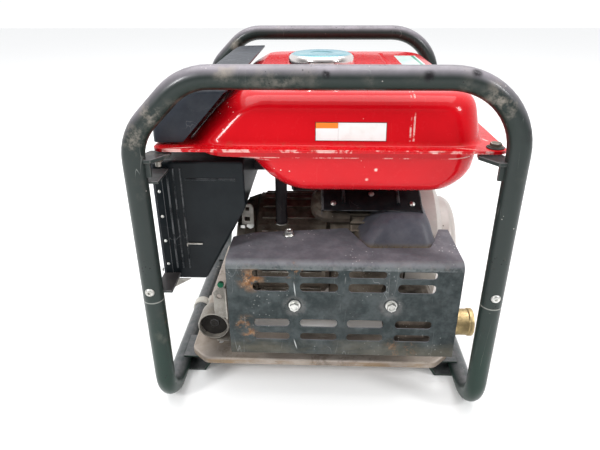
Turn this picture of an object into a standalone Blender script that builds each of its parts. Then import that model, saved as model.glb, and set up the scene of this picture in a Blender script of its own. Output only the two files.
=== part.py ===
"""A portable petrol generator in an open tube frame, in metres, +Z up.

+X is the side of the recoil starter, -X the control panel and -Y the muffler cover.
The origin is on the floor at the middle of the frame's footprint.
"""

import math

import bmesh
import bpy
from mathutils import Matrix, Vector

# Frame
TUBE_RADIUS = 0.0127
TUBE_WALL = 0.0016
HOOP_Y = 0.245
LEG_X = 0.2075
HOOP_TOP = 0.447
JOINT_Z = 0.178
CHAMFER = 0.0635
SKID_BEND = 0.045
FOOT_Y = 0.147
FOOT_LENGTH = 0.050
FOOT_TOP = 0.0277

# Base pan and rubber mounts
PAN_X = 0.190
PAN_Y = 0.188
PAN_LOW = 0.028
PAN_TOP = 0.038
PAN_CORNER = 0.024
PAN_SHEET = 0.0018
PAN_OPENING = ((-0.105, 0.105), (-0.124, -0.0885))
MOUNT_TOP = 0.0617

# Tank
FLANGE_X = (-0.192, 0.204)
FLANGE_Y = 0.229
FLANGE_Z = 0.3643
TANK_TOP = 0.421
TANK_BOTTOM = 0.304
TANK_LEFT_SLOPE = 0.94
TANK_SHEET = 0.0016
TANK_BRACKET = (0.3555, 0.3600)
SHOULDER_Z = 0.404
RECESS_HALF = 0.046
RECESS_RAMP = 0.010
RECESS_DEPTH = 0.007
RECESS_END = 0.160
RECESS_FADE = 0.025
CAP_X = -0.003
CAP_Y = -0.052
CAP_RADIUS = 0.044
CAP_TOP = 0.448
FILLER_RADIUS = 0.030
NECK_TOP = 0.434
GASKET = 0.0022
SIDE_COVER_Y = 0.213
SIDE_COVER_SHEET = 0.0025

# Fuel cock and hose
COCK_X = 0.110
COCK_Y = 0.100
COCK_Z = 0.286
COCK_RADIUS = 0.011
OUTLET_RADIUS = 0.005
HOSE_RADIUS = 0.0042

# Engine: the crankshaft lies along X, and the cylinder leans towards -Y
CRANK_Y = -0.030
CRANK_Z = 0.150
CYLINDER_X = 0.074
TILT = math.radians(38.0)
BORE_RADIUS = 0.028
CRANK_THROW = 0.020
ROD_LENGTH = 0.062
WEB_HALF_GAP = 0.009
CASE_X = (0.014, 0.110)
CASE_RADIUS = 0.060
CAVITY_RADIUS = 0.052
SHAFT_RADIUS = 0.013
JOURNAL_RADIUS = 0.012
DECK = 0.052
HEAD_START = 0.103
HEAD_END = 0.126
FIN_X = (0.014, 0.114)
HEAD_HALF_X = 0.033
BARREL_RADIUS = 0.0345
PORT_ALONG = 0.0115
PLUG_OFFSET = 0.016
FIN_HALF_N = 0.040
GUIDE_X = (0.000, 0.136)
GUIDE_START = (0.0, -0.1460, 0.2572)
GUIDE_END = (0.0, -0.0500, 0.3012)
STATOR_X = (-0.098, 0.0137)
STATOR_RADIUS = 0.080
ROTOR_X = (-0.092, 0.000)
ROTOR_RADIUS = 0.050
END_COVER_X = -0.132
SLEEVE = (-0.058, -0.090)
SLEEVE_Z = (0.2125, 0.302)
SLEEVE_RADIUS = 0.0085
FAN_COVER_X = (0.122, 0.174)
FAN_COVER_RADIUS = 0.104
RECOIL_X = (0.1743, 0.203)
RECOIL_RADIUS = 0.077
DRUM_WALL = 0.002
FAN_X = (0.1423, 0.1600)
FAN_RADII = (0.056, 0.094)
BLADES = 12
ROPE_X = 0.184
ROPE_Z = 0.180
PORT_X = 0.012
FILLER_TILT = math.radians(20.0)
CARB_Z = 0.244
CARB_Y = (0.030, 0.074)
CLEANER_X = (-0.053, 0.077)
CLEANER_Z = (0.195, 0.285)
CLEANER_BACK = 0.150
CLEANER_LID = 0.172
CLEANER_WALL = 0.0025

# Muffler and its cover
COVER_X = (-0.119, 0.176)
COVER_FRONT = -0.228
COVER_Z = (0.082, 0.222)
COVER_SHEET = 0.0015
COVER_BACK = -0.128
COVER_BEND = 0.010
SLOT_COLUMNS = ((-0.063, 0.046), (-0.002, 0.048), (0.0585, 0.047), (0.1205, 0.047))
SLOT_ROWS = ((0.2060, 0.010), (0.1865, 0.013), (0.1320, 0.012), (0.1105, 0.011))
FRONT_BOLTS = ((-0.033, 0.160), (0.090, 0.162))
TOP_BOLT = (-0.044, -0.152)
BOLT_HOLE = 0.0034
HOOD_NOTCH = ((0.033, -0.120), (0.062, -0.187), (0.142, -0.184), (0.166, -0.120))
BACK_SLANT = ((-0.129, -0.164), (-0.094, -0.146), (0.040, -0.1275), (0.040, -0.110), (-0.140, -0.110))
HOOD_Z = (0.2145, 0.257)
HOOD_BACK = -0.1405
MUFFLER_X = (0.086, 0.154)
MUFFLER_Y = (-0.222, -0.142)
MUFFLER_Z = (0.088, 0.158)
EXHAUST_PORT = (0.104, -0.158)
TAIL_Y = -0.190
TAIL_Z = 0.112
TAIL_END = 0.207

# Control box, whose open side faces -X
BOX_LEFT = -0.203
BOX_RIGHT = -0.094
BOX_Y = (-0.200, 0.195)
BOX_Z = (0.180, 0.342)
BOX_BRACKETS = (0.186, 0.330)
METER_AT = (-0.100, 0.290)
SWITCH_AT = (-0.020, 0.290)
BREAKER_AT = (-0.100, 0.226)
PANEL = 0.0027

GAP = 0.0003

ALONG_X = (0.0, math.pi / 2.0, 0.0)
RIGHT = Vector((1.0, 0.0, 0.0))
BACK = Vector((0.0, 1.0, 0.0))
UP = Vector((0.0, 0.0, 1.0))
AXIS = Vector((0.0, -math.cos(TILT), math.sin(TILT)))
NORMAL = Vector((0.0, math.sin(TILT), math.cos(TILT)))
CRANK = Vector((0.0, CRANK_Y, CRANK_Z))

FINISHES = {
    "frame paint": ((0.045, 0.062, 0.058), 0.38, 0.35),
    "green paint": ((0.030, 0.075, 0.050), 0.50, 0.20),
    "pan": ((0.42, 0.36, 0.31), 0.55, 0.60),
    "rubber": ((0.02, 0.02, 0.02), 0.80, 0.0),
    "tank red": ((0.75, 0.015, 0.02), 0.22, 0.0),
    "chrome": ((0.70, 0.74, 0.73), 0.12, 1.0),
    "dark plastic": ((0.035, 0.042, 0.052), 0.45, 0.0),
    "black sheet": ((0.020, 0.024, 0.027), 0.50, 0.2),
    "cover paint": ((0.050, 0.052, 0.060), 0.50, 0.2),
    "casting": ((0.23, 0.20, 0.17), 0.60, 0.7),
    "steel": ((0.55, 0.54, 0.52), 0.30, 1.0),
    "dark iron": ((0.05, 0.045, 0.04), 0.65, 0.6),
    "brass": ((0.66, 0.50, 0.26), 0.35, 1.0),
    "light grey": ((0.56, 0.53, 0.50), 0.40, 0.2),
    "copper": ((0.50, 0.22, 0.10), 0.45, 0.8),
    "white": ((0.80, 0.80, 0.78), 0.35, 0.0),
    "foam": ((0.05, 0.05, 0.05), 0.95, 0.0),
}


def clear_scene():
    """Remove every object and start with an empty collection for the parts and one for the cutters."""
    for old in list(bpy.data.objects):
        bpy.data.objects.remove(old, do_unlink=True)
    groups = []
    for name in ("portable_generator", "cutters"):
        group = bpy.data.collections.new(name)
        bpy.context.scene.collection.children.link(group)
        groups.append(group)
    return groups


PARTS, CUTTERS = clear_scene()


def add(name, mesh, finish=None, location=(0.0, 0.0, 0.0), rotation=(0.0, 0.0, 0.0)):
    """Put a mesh in the scene: a part where it has a finish, or else a cutter."""
    obj = bpy.data.objects.new(name, mesh)
    obj.location = location
    obj.rotation_euler = rotation
    if finish is None:
        obj.hide_render = True
        obj.display_type = "WIRE"
        CUTTERS.objects.link(obj)
        return obj
    colour, roughness, metallic = FINISHES[finish]
    material = bpy.data.materials.new(name)
    material.use_nodes = True
    shader = material.node_tree.nodes["Principled BSDF"]
    shader.inputs["Base Color"].default_value = (*colour, 1.0)
    shader.inputs["Roughness"].default_value = roughness
    shader.inputs["Metallic"].default_value = metallic
    mesh.materials.append(material)
    PARTS.objects.link(obj)
    return obj


def to_mesh(bm, name):
    """Turn a bmesh into a mesh with its faces pointing out."""
    bmesh.ops.recalc_face_normals(bm, faces=bm.faces[:])
    mesh = bpy.data.meshes.new(name)
    bm.to_mesh(mesh)
    bm.free()
    return mesh


def box(name, finish, low, high, bevel=0.0, segments=2, rotation=(0.0, 0.0, 0.0)):
    """A block between two opposite corners, with rounded edges; a rotation turns it about its centre."""
    low = Vector(low)
    high = Vector(high)
    bm = bmesh.new()
    bmesh.ops.create_cube(bm, size=1.0)
    bmesh.ops.scale(bm, vec=high - low, verts=bm.verts[:])
    if bevel:
        bmesh.ops.bevel(bm, geom=bm.edges[:], offset=bevel, segments=segments, profile=0.5, affect="EDGES")
    return add(name, to_mesh(bm, name), finish, (low + high) / 2.0, rotation)


def on_crank(x):
    """A point on the crankshaft's axis."""
    return CRANK + RIGHT * x


def tilted_box(name, finish, x_range, start, end, low_n, high_n, bevel=0.0):
    """A block along the cylinder's axis, from start to end, and from low_n to high_n across it."""
    centre = CRANK + AXIS * (start + end) / 2.0 + NORMAL * (low_n + high_n) / 2.0
    centre.x = sum(x_range) / 2.0
    half = Vector((x_range[1] - x_range[0], end - start, high_n - low_n)) / 2.0
    return box(name, finish, centre - half, centre + half, bevel, 2, (-TILT, 0.0, 0.0))


def cylinder(name, finish, radius, start, end, segments=20):
    """A solid cylinder between two points."""
    start = Vector(start)
    end = Vector(end)
    bm = bmesh.new()
    bmesh.ops.create_cone(
        bm,
        cap_ends=True,
        segments=segments,
        radius1=radius,
        radius2=radius,
        depth=(end - start).length,
    )
    turn = (end - start).to_track_quat("Z", "Y").to_euler()
    return add(name, to_mesh(bm, name), finish, (start + end) / 2.0, turn)


def turned(name, finish, profile, location, rotation=(0.0, 0.0, 0.0), steps=20):
    """A turned piece: the profile is (radius, height) pairs down the outer side, turned about local Z."""
    mesh = bpy.data.meshes.new(name)
    ring = profile[0][0] > 0.0
    edges = [(i, i + 1) for i in range(len(profile) - 1)]
    if ring:
        edges.append((len(profile) - 1, 0))
    mesh.from_pydata([(radius, 0.0, height) for radius, height in profile], edges, [])
    obj = add(name, mesh, finish, location, rotation)
    screw = obj.modifiers.new("turn", "SCREW")
    screw.steps = steps
    screw.render_steps = steps
    screw.use_merge_vertices = True
    screw.merge_threshold = 0.0001
    return obj


def turned_x(name, finish, profile, steps=24):
    """A piece turned about the crankshaft's axis: (radius, x) pairs, from high x to low x on the outside."""
    return turned(name, finish, profile, CRANK, ALONG_X, steps)


def extruded(name, finish, outline, plane, low, high, bevel=0.0):
    """A flat outline in the plane XY, XZ or YZ, extruded along the remaining axis from low to high."""
    order = {"XY": (0, 1, 2), "XZ": (0, 2, 1), "YZ": (1, 2, 0)}[plane]
    bm = bmesh.new()
    verts = []
    for first, second in outline:
        point = Vector((0.0, 0.0, 0.0))
        point[order[0]] = first
        point[order[1]] = second
        point[order[2]] = low
        verts.append(bm.verts.new(point))
    face = bm.faces.new(verts)
    side = bmesh.ops.extrude_face_region(bm, geom=[face])
    shift = Vector((0.0, 0.0, 0.0))
    shift[order[2]] = high - low
    bmesh.ops.translate(bm, vec=shift, verts=[v for v in side["geom"] if isinstance(v, bmesh.types.BMVert)])
    if bevel:
        bmesh.ops.recalc_face_normals(bm, faces=bm.faces[:])
        bmesh.ops.bevel(bm, geom=bm.edges[:], offset=bevel, segments=2, profile=0.5, affect="EDGES")
    return add(name, to_mesh(bm, name), finish)


def fillet(corners, radius, step=math.radians(22.5)):
    """The route through the corners with each inner corner rounded; radius is one value or one a corner."""
    corners = [Vector(c) for c in corners]
    radii = radius if isinstance(radius, (list, tuple)) else [radius] * (len(corners) - 2)
    route = [corners[0]]
    for before, corner, after, r in zip(corners, corners[1:], corners[2:], radii):
        back = (before - corner).normalized()
        ahead = (after - corner).normalized()
        half_turn = (math.pi - back.angle(ahead)) / 2.0
        centre = corner + (back + ahead).normalized() * r / math.cos(half_turn)
        first = corner + back * r * math.tan(half_turn) - centre
        axis = first.cross(corner + ahead * r * math.tan(half_turn) - centre).normalized()
        count = max(2, round(2.0 * half_turn / step))
        for i in range(count + 1):
            route.append(centre + Matrix.Rotation(2.0 * half_turn * i / count, 3, axis) @ first)
    route.append(corners[-1])
    return route


def tube(name, finish, route, radius, resolution=2):
    """A solid tube along a route, as a closed mesh."""
    curve = bpy.data.curves.new(name, "CURVE")
    curve.dimensions = "3D"
    curve.bevel_depth = radius
    curve.bevel_resolution = resolution
    curve.use_fill_caps = True
    spline = curve.splines.new("POLY")
    spline.points.add(len(route) - 1)
    for point, place in zip(spline.points, route):
        point.co = (*place, 1.0)
    guide = bpy.data.objects.new(name, curve)
    PARTS.objects.link(guide)
    bpy.context.view_layer.update()
    evaluated = guide.evaluated_get(bpy.context.evaluated_depsgraph_get())
    mesh = bpy.data.meshes.new_from_object(evaluated)
    bpy.data.objects.remove(guide, do_unlink=True)
    bpy.data.curves.remove(curve)
    bm = bmesh.new()
    bm.from_mesh(mesh)
    bmesh.ops.remove_doubles(bm, verts=bm.verts[:], dist=0.00005)
    bpy.data.meshes.remove(mesh)
    return add(name, to_mesh(bm, name), finish)


def boolean(target, tool, operation):
    """Join a tool to the target or cut it away; the tool is hidden and leaves the parts."""
    modifier = target.modifiers.new(tool.name, "BOOLEAN")
    modifier.operation = operation
    modifier.object = tool
    return target


def cut(target, *tools):
    for tool in tools:
        boolean(target, tool, "DIFFERENCE")


def join(target, *tools):
    for tool in tools:
        boolean(target, tool, "UNION")


def thicken(obj, thickness):
    """Give an open surface its thickness, on the inner side."""
    solidify = obj.modifiers.new("sheet", "SOLIDIFY")
    solidify.thickness = thickness
    solidify.offset = -1.0
    solidify.use_even_offset = True


def rounded_rectangle(x_range, half_y, radius, z, steps=3):
    """The corner points of a rectangle with round corners, symmetric in Y."""
    points = []
    for sign_x, sign_y, start in ((1, 1, 0), (-1, 1, 90), (-1, -1, 180), (1, -1, 270)):
        centre_x = x_range[1] - radius if sign_x > 0 else x_range[0] + radius
        centre_y = sign_y * (half_y - radius)
        for i in range(steps + 1):
            turn = math.radians(start + 90.0 * i / steps)
            points.append((centre_x + radius * math.cos(turn), centre_y + radius * math.sin(turn), z))
    return points


def loft(rings):
    """A bmesh through rings of equal point counts, closed over the last ring and open at the first."""
    bm = bmesh.new()
    loops = [[bm.verts.new(point) for point in ring] for ring in rings]
    for lower, upper in zip(loops, loops[1:]):
        for i in range(len(lower)):
            j = (i + 1) % len(lower)
            bm.faces.new((lower[i], lower[j], upper[j], upper[i]))
    cap = bm.faces.new(loops[-1])
    bmesh.ops.recalc_face_normals(bm, faces=bm.faces[:])
    cap.normal_update()
    if cap.normal.dot(cap.calc_center_median() - Vector(rings[0][0])) < 0.0:
        bmesh.ops.reverse_faces(bm, faces=bm.faces[:])
    return bm


def surface(bm, name):
    """Turn an open bmesh whose faces already point out into a mesh."""
    mesh = bpy.data.meshes.new(name)
    bm.to_mesh(mesh)
    bm.free()
    return mesh


def open_prism(name, finish, outline, y_range, dropped, bevel, sheet):
    """A sheet housing: an XZ outline along Y, without the walls that follow the dropped outline points."""
    obj = extruded(name, finish, outline, "XZ", y_range[0], y_range[1])
    bm = bmesh.new()
    bm.from_mesh(obj.data)
    bm.faces.ensure_lookup_table()
    gone = []
    for index in dropped:
        first = Vector((outline[index][0], 0.0, outline[index][1]))
        second = outline[(index + 1) % len(outline)]
        middle = (first + Vector((second[0], 0.0, second[1]))) / 2.0
        middle.y = sum(y_range) / 2.0
        gone.append(min(bm.faces, key=lambda face: (face.calc_center_median() - middle).length))
    bmesh.ops.delete(bm, geom=gone, context="FACES")
    inner = [edge for edge in bm.edges if len(edge.link_faces) == 2]
    bmesh.ops.bevel(bm, geom=inner, offset=bevel, segments=2, profile=0.5, affect="EDGES")
    bm.to_mesh(obj.data)
    bm.free()
    thicken(obj, sheet)
    return obj


def frame():
    """Two hoops and two skids of round tube, with their welded brackets and feet."""
    for name, side in (("front_hoop", -1.0), ("rear_hoop", 1.0)):
        y = side * HOOP_Y
        bottom = JOINT_Z + GAP / 2.0
        corners = [
            (-LEG_X, y, bottom),
            (-LEG_X, y, HOOP_TOP - CHAMFER),
            (-LEG_X + CHAMFER, y, HOOP_TOP),
            (LEG_X, y, HOOP_TOP),
            (LEG_X, y, bottom),
        ]
        radii = (0.065, 0.065, 0.080)
        hoop = tube(name, "frame paint", fillet(corners, radii), TUBE_RADIUS)
        corners[0] = (-LEG_X, y, bottom - 0.002)
        corners[-1] = (LEG_X, y, bottom - 0.002)
        bore = tube(name + "_bore", None, fillet(corners, radii), TUBE_RADIUS - TUBE_WALL)
        for x in (-LEG_X, LEG_X):
            sign = math.copysign(1.0, x)
            plate = [
                (x, y - side * 0.004),
                (x, y + side * 0.004),
                (x - sign * 0.020, y + side * 0.006),
                (x - sign * 0.036, y - side * 0.018),
                (x - sign * 0.034, y - side * 0.030),
                (x - sign * 0.010, y - side * 0.030),
            ]
            join(hoop, extruded(f"{name}_tank_bracket", None, plate, "XY", *TANK_BRACKET))
        box_face = BOX_Y[0] - GAP if side < 0.0 else BOX_Y[1] + GAP
        for z in BOX_BRACKETS:
            low_y, high_y = sorted((y, box_face))
            low = (-LEG_X + 0.002, low_y, z)
            join(hoop, box(f"{name}_box_bracket", None, low, (-LEG_X + 0.024, high_y, z + 0.003)))
        cut(hoop, bore)
    for name, x in (("left_skid", -LEG_X), ("right_skid", LEG_X)):
        top = JOINT_Z - GAP / 2.0
        floor = TUBE_RADIUS
        corners = [(x, -HOOP_Y, top), (x, -HOOP_Y, floor), (x, HOOP_Y, floor), (x, HOOP_Y, top)]
        skid = tube(name, "frame paint", fillet(corners, SKID_BEND), TUBE_RADIUS)
        corners[0] = (x, -HOOP_Y, top + 0.002)
        corners[-1] = (x, HOOP_Y, top + 0.002)
        bore = tube(name + "_bore", None, fillet(corners, SKID_BEND), TUBE_RADIUS - TUBE_WALL)
        sign = math.copysign(1.0, x)
        channel = [
            (sign * across, up)
            for across, up in (
                (0.2030, 0.0),
                (0.1720, 0.0),
                (0.1560, FOOT_TOP - 0.003),
                (0.1560, FOOT_TOP),
                (0.2030, FOOT_TOP),
                (0.2030, FOOT_TOP - 0.003),
                (0.1605, FOOT_TOP - 0.003),
                (0.1740, 0.003),
                (0.2030, 0.003),
            )
        ]
        for y in (-FOOT_Y, FOOT_Y):
            low_y = y - FOOT_LENGTH / 2.0
            join(skid, extruded(name + "_foot", None, channel, "XZ", low_y, low_y + FOOT_LENGTH))
        cut(skid, bore)


def base_pan():
    """A folded steel pan with cut corners, and four rubber mounts on it."""
    outline = []
    for sign_x, sign_y in ((1, 1), (-1, 1), (-1, -1), (1, -1)):
        near = (sign_x * PAN_X, sign_y * (PAN_Y - PAN_CORNER))
        far = (sign_x * (PAN_X - PAN_CORNER), sign_y * PAN_Y)
        outline += [near, far] if sign_x * sign_y > 0 else [far, near]
    radius = 0.0025
    rings = [[(x, y, PAN_LOW) for x, y in outline], [(x, y, PAN_TOP - radius) for x, y in outline]]
    inner = 1.0 - radius / PAN_Y
    rings.append([(x * inner, y * inner, PAN_TOP) for x, y in outline])
    pan = add("base_pan", surface(loft(rings), "base_pan"), "pan")
    thicken(pan, PAN_SHEET)
    (low_x, high_x), (low_y, high_y) = PAN_OPENING
    cut(pan, box("air_opening", None, (low_x, low_y, PAN_LOW), (high_x, high_y, PAN_TOP + PAN_SHEET)))
    low = PAN_TOP + GAP
    height = MOUNT_TOP - low
    profile = [(0.0, height), (0.014, height), (0.011, height * 0.5), (0.014, 0.0), (0.0, 0.0)]
    for index, (x, y) in enumerate(((-0.116, -0.067), (-0.116, 0.007), (0.062, -0.072), (0.062, -0.006))):
        turned(f"rubber_mount_{index + 1}", "rubber", profile, (x, y, low), steps=12)


def tank_left(z):
    """Where the tank's sloping left end lies at a height."""
    return -0.149 + (z - 0.376) * TANK_LEFT_SLOPE


def tank():
    """The pressed upper and lower tank shells with their seam flanges, the filler neck, cap and gasket."""
    top = FLANGE_Z + GAP + TANK_SHEET
    sections = [
        (FLANGE_X, FLANGE_Y, 0.012, top),
        ((tank_left(top), 0.184), 0.215, 0.042, top),
        ((tank_left(SHOULDER_Z), 0.173), 0.207, 0.042, SHOULDER_Z),
        ((tank_left(0.413), 0.169), 0.203, 0.040, 0.413),
        ((tank_left(0.419) + 0.004, 0.161), 0.195, 0.034, 0.419),
        ((tank_left(TANK_TOP) + 0.012, 0.148), 0.182, 0.024, TANK_TOP),
    ]
    bm = loft([rounded_rectangle(x_range, y, radius, z) for x_range, y, radius, z in sections])
    for offset in (-RECESS_HALF - RECESS_RAMP, -RECESS_HALF, RECESS_HALF, RECESS_HALF + RECESS_RAMP):
        geometry = bm.verts[:] + bm.edges[:] + bm.faces[:]
        point = (CAP_X + offset, 0.0, 0.0)
        bmesh.ops.bisect_plane(bm, geom=geometry, plane_co=point, plane_no=(1.0, 0.0, 0.0))
    for y in (-RECESS_END, RECESS_FADE - RECESS_END, RECESS_END - RECESS_FADE, RECESS_END):
        geometry = bm.verts[:] + bm.edges[:] + bm.faces[:]
        bmesh.ops.bisect_plane(bm, geom=geometry, plane_co=(0.0, y, 0.0), plane_no=(0.0, 1.0, 0.0))
    for vert in bm.verts:
        across = (RECESS_HALF + RECESS_RAMP - abs(vert.co.x - CAP_X)) / RECESS_RAMP
        along = (RECESS_END - abs(vert.co.y)) / RECESS_FADE
        up = (vert.co.z - SHOULDER_Z) / (TANK_TOP - SHOULDER_Z)
        depth = RECESS_DEPTH
        for share in (across, along, up):
            depth *= min(max(share, 0.0), 1.0)
        vert.co.z -= depth
    upper = add("tank_upper_shell", surface(bm, "tank_upper_shell"), "tank red")
    thicken(upper, TANK_SHEET)
    mouth = Vector((CAP_X, CAP_Y, TANK_TOP))
    cut(upper, cylinder("filler_hole", None, FILLER_RADIUS, mouth - UP * 0.03, mouth + UP * 0.02))

    low = FLANGE_Z - GAP - TANK_SHEET
    sections = [
        (FLANGE_X, FLANGE_Y, 0.012, low),
        ((-0.150, 0.184), 0.213, 0.042, low),
        ((-0.148, 0.182), 0.212, 0.040, 0.352),
        ((-0.094, 0.181), 0.211, 0.036, 0.349),
        ((-0.077, 0.178), 0.210, 0.036, 0.333),
        ((-0.060, 0.168), 0.206, 0.036, 0.316),
        ((-0.046, 0.157), 0.198, 0.030, 0.3075),
        ((-0.030, 0.142), 0.186, 0.024, TANK_BOTTOM),
    ]
    rings = [rounded_rectangle(x_range, y, radius, z) for x_range, y, radius, z in sections]
    lower = add("tank_lower_shell", surface(loft(rings), "tank_lower_shell"), "tank red")
    thicken(lower, TANK_SHEET)
    outlet = Vector((COCK_X, COCK_Y, TANK_BOTTOM))
    cut(lower, cylinder("outlet_hole", None, OUTLET_RADIUS, outlet - UP * 0.01, outlet + UP * 0.01, 12))

    floor = TANK_TOP - RECESS_DEPTH + GAP
    profile = [(0.0315, NECK_TOP), (0.0335, NECK_TOP - 0.002), (0.0335, floor + 0.003), (0.037, floor)]
    profile += [(0.0295, floor), (0.0295, NECK_TOP)]
    turned("filler_neck", "tank red", profile, (CAP_X, CAP_Y, 0.0))
    gasket = [(0.036, GASKET), (0.036, 0.0), (0.027, 0.0), (0.027, GASKET)]
    gasket_low = NECK_TOP + GAP
    turned("fuel_cap_gasket", "rubber", gasket, (CAP_X, CAP_Y, gasket_low))
    under = gasket_low + GASKET + GAP - CAP_TOP
    skirt = -0.016
    outer = CAP_RADIUS
    cap = [(0.0, 0.0), (outer - 0.008, 0.0), (outer - 0.002, -0.0015), (outer, -0.004), (outer, skirt)]
    cap += [(outer - 0.0025, skirt), (outer - 0.0025, under), (0.0, under)]
    turned("fuel_cap", "chrome", cap, (CAP_X, CAP_Y, CAP_TOP), steps=28)

    side = [(-0.194, 0.3690), (-0.194, 0.390), (-0.157, 0.4270), (-0.106, 0.4285), (-0.1600, 0.3690)]
    y_range = (-SIDE_COVER_Y, SIDE_COVER_Y)
    open_prism("tank_side_cover", "dark plastic", side, y_range, (3, 4), 0.006, SIDE_COVER_SHEET)


def fuel_line():
    """The fuel cock under the tank, its lever, and the hose to the carburettor."""
    centre = Vector((COCK_X, COCK_Y, COCK_Z))
    bottom = centre - UP * 0.010
    top = Vector((COCK_X, COCK_Y, TANK_BOTTOM - GAP))
    body = cylinder("fuel_cock_body", "brass", COCK_RADIUS, top, bottom, 16)
    join(body, cylinder("cock_face", None, 0.009, centre, centre + BACK * 0.018, 16))
    join(body, cylinder("cock_spout", None, 0.0032, bottom + UP * 0.004, bottom - UP * 0.012, 10))
    pivot = centre + BACK * (0.018 + GAP)
    lever = cylinder("fuel_cock_lever", "black sheet", 0.008, pivot, pivot + BACK * 0.006, 16)
    low = pivot + Vector((-0.004, 0.001, -0.028))
    join(lever, box("lever_arm", None, low, pivot + Vector((0.004, 0.0055, 0.001)), 0.001, 1))
    middle = sum(CARB_Y) / 2.0
    start = bottom - UP * (0.012 + GAP)
    route = [start, start - UP * 0.0157, (0.104, 0.070, CARB_Z - 0.002), (0.082, middle, CARB_Z)]
    route += [(PORT_X + 0.040, middle, CARB_Z), (PORT_X + 0.0193, middle, CARB_Z)]
    tube("fuel_hose", "rubber", fillet(route, 0.012, math.radians(30.0)), HOSE_RADIUS, 1)


def crankcase():
    """The crankcase casting with its sump, the side cover and the oil filler cap."""
    low_x, high_x = CASE_X
    case = cylinder("crankcase", "casting", CASE_RADIUS, on_crank(low_x), on_crank(high_x), 24)
    join(case, box("sump", None, (low_x + 0.0004, -0.090, 0.062), (high_x - 0.0004, 0.012, 0.140), 0.006))
    join(case, tilted_box("deck", None, (CYLINDER_X - 0.035, CYLINDER_X + 0.035), 0.030, DECK, -0.036, 0.036))
    filler = Vector((0.040, 0.002, 0.086))
    outwards = Vector((0.0, math.cos(FILLER_TILT), math.sin(FILLER_TILT)))
    join(case, cylinder("filler_boss", None, 0.015, filler, filler + outwards * 0.026, 20))
    inner_x = low_x + 0.010
    cut(case, tilted_box("deck_face", None, (0.0, 0.2), DECK, DECK + 0.050, -0.060, 0.060))
    cut(case, cylinder("cavity", None, CAVITY_RADIUS, on_crank(inner_x), on_crank(0.2), 24))
    cut(case, box("sump_cavity", None, (inner_x + 0.0005, -0.082, 0.070), (0.199, 0.004, 0.135)))
    bearing = SHAFT_RADIUS + 2.0 * GAP
    cut(case, cylinder("bearing", None, bearing, on_crank(low_x - 0.01), on_crank(low_x + 0.03)))
    mouth = on_crank(CYLINDER_X)
    cut(case, cylinder("cylinder_mouth", None, 0.0323, mouth + AXIS * 0.030, mouth + AXIS * 0.070, 24))
    cut(case, cylinder("filler_bore", None, 0.0095, filler - outwards * 0.012, filler + outwards * 0.030, 16))

    start = high_x + GAP
    cover_radius = CASE_RADIUS + 0.002
    cover = cylinder("crankcase_cover", "casting", cover_radius, on_crank(start), on_crank(start + 0.008), 24)
    low = (start + 0.0004, -0.088, 0.064)
    join(cover, box("cover_skirt", None, low, (start + 0.0074, 0.010, 0.140), 0.0025))
    bearing = JOURNAL_RADIUS + 2.0 * GAP
    cut(cover, cylinder("cover_bearing", None, bearing, on_crank(start - 0.01), on_crank(start + 0.02)))

    seat = filler + outwards * (0.026 + GAP)
    cap = cylinder("oil_filler_cap", "dark plastic", 0.016, seat, seat + outwards * 0.010, 20)
    join(cap, cylinder("cap_grip", None, 0.011, seat + outwards * 0.009, seat + outwards * 0.017, 12))
    join(cap, cylinder("dipstick", None, 0.006, seat - outwards * 0.034, seat + outwards * 0.002, 12))


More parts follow.
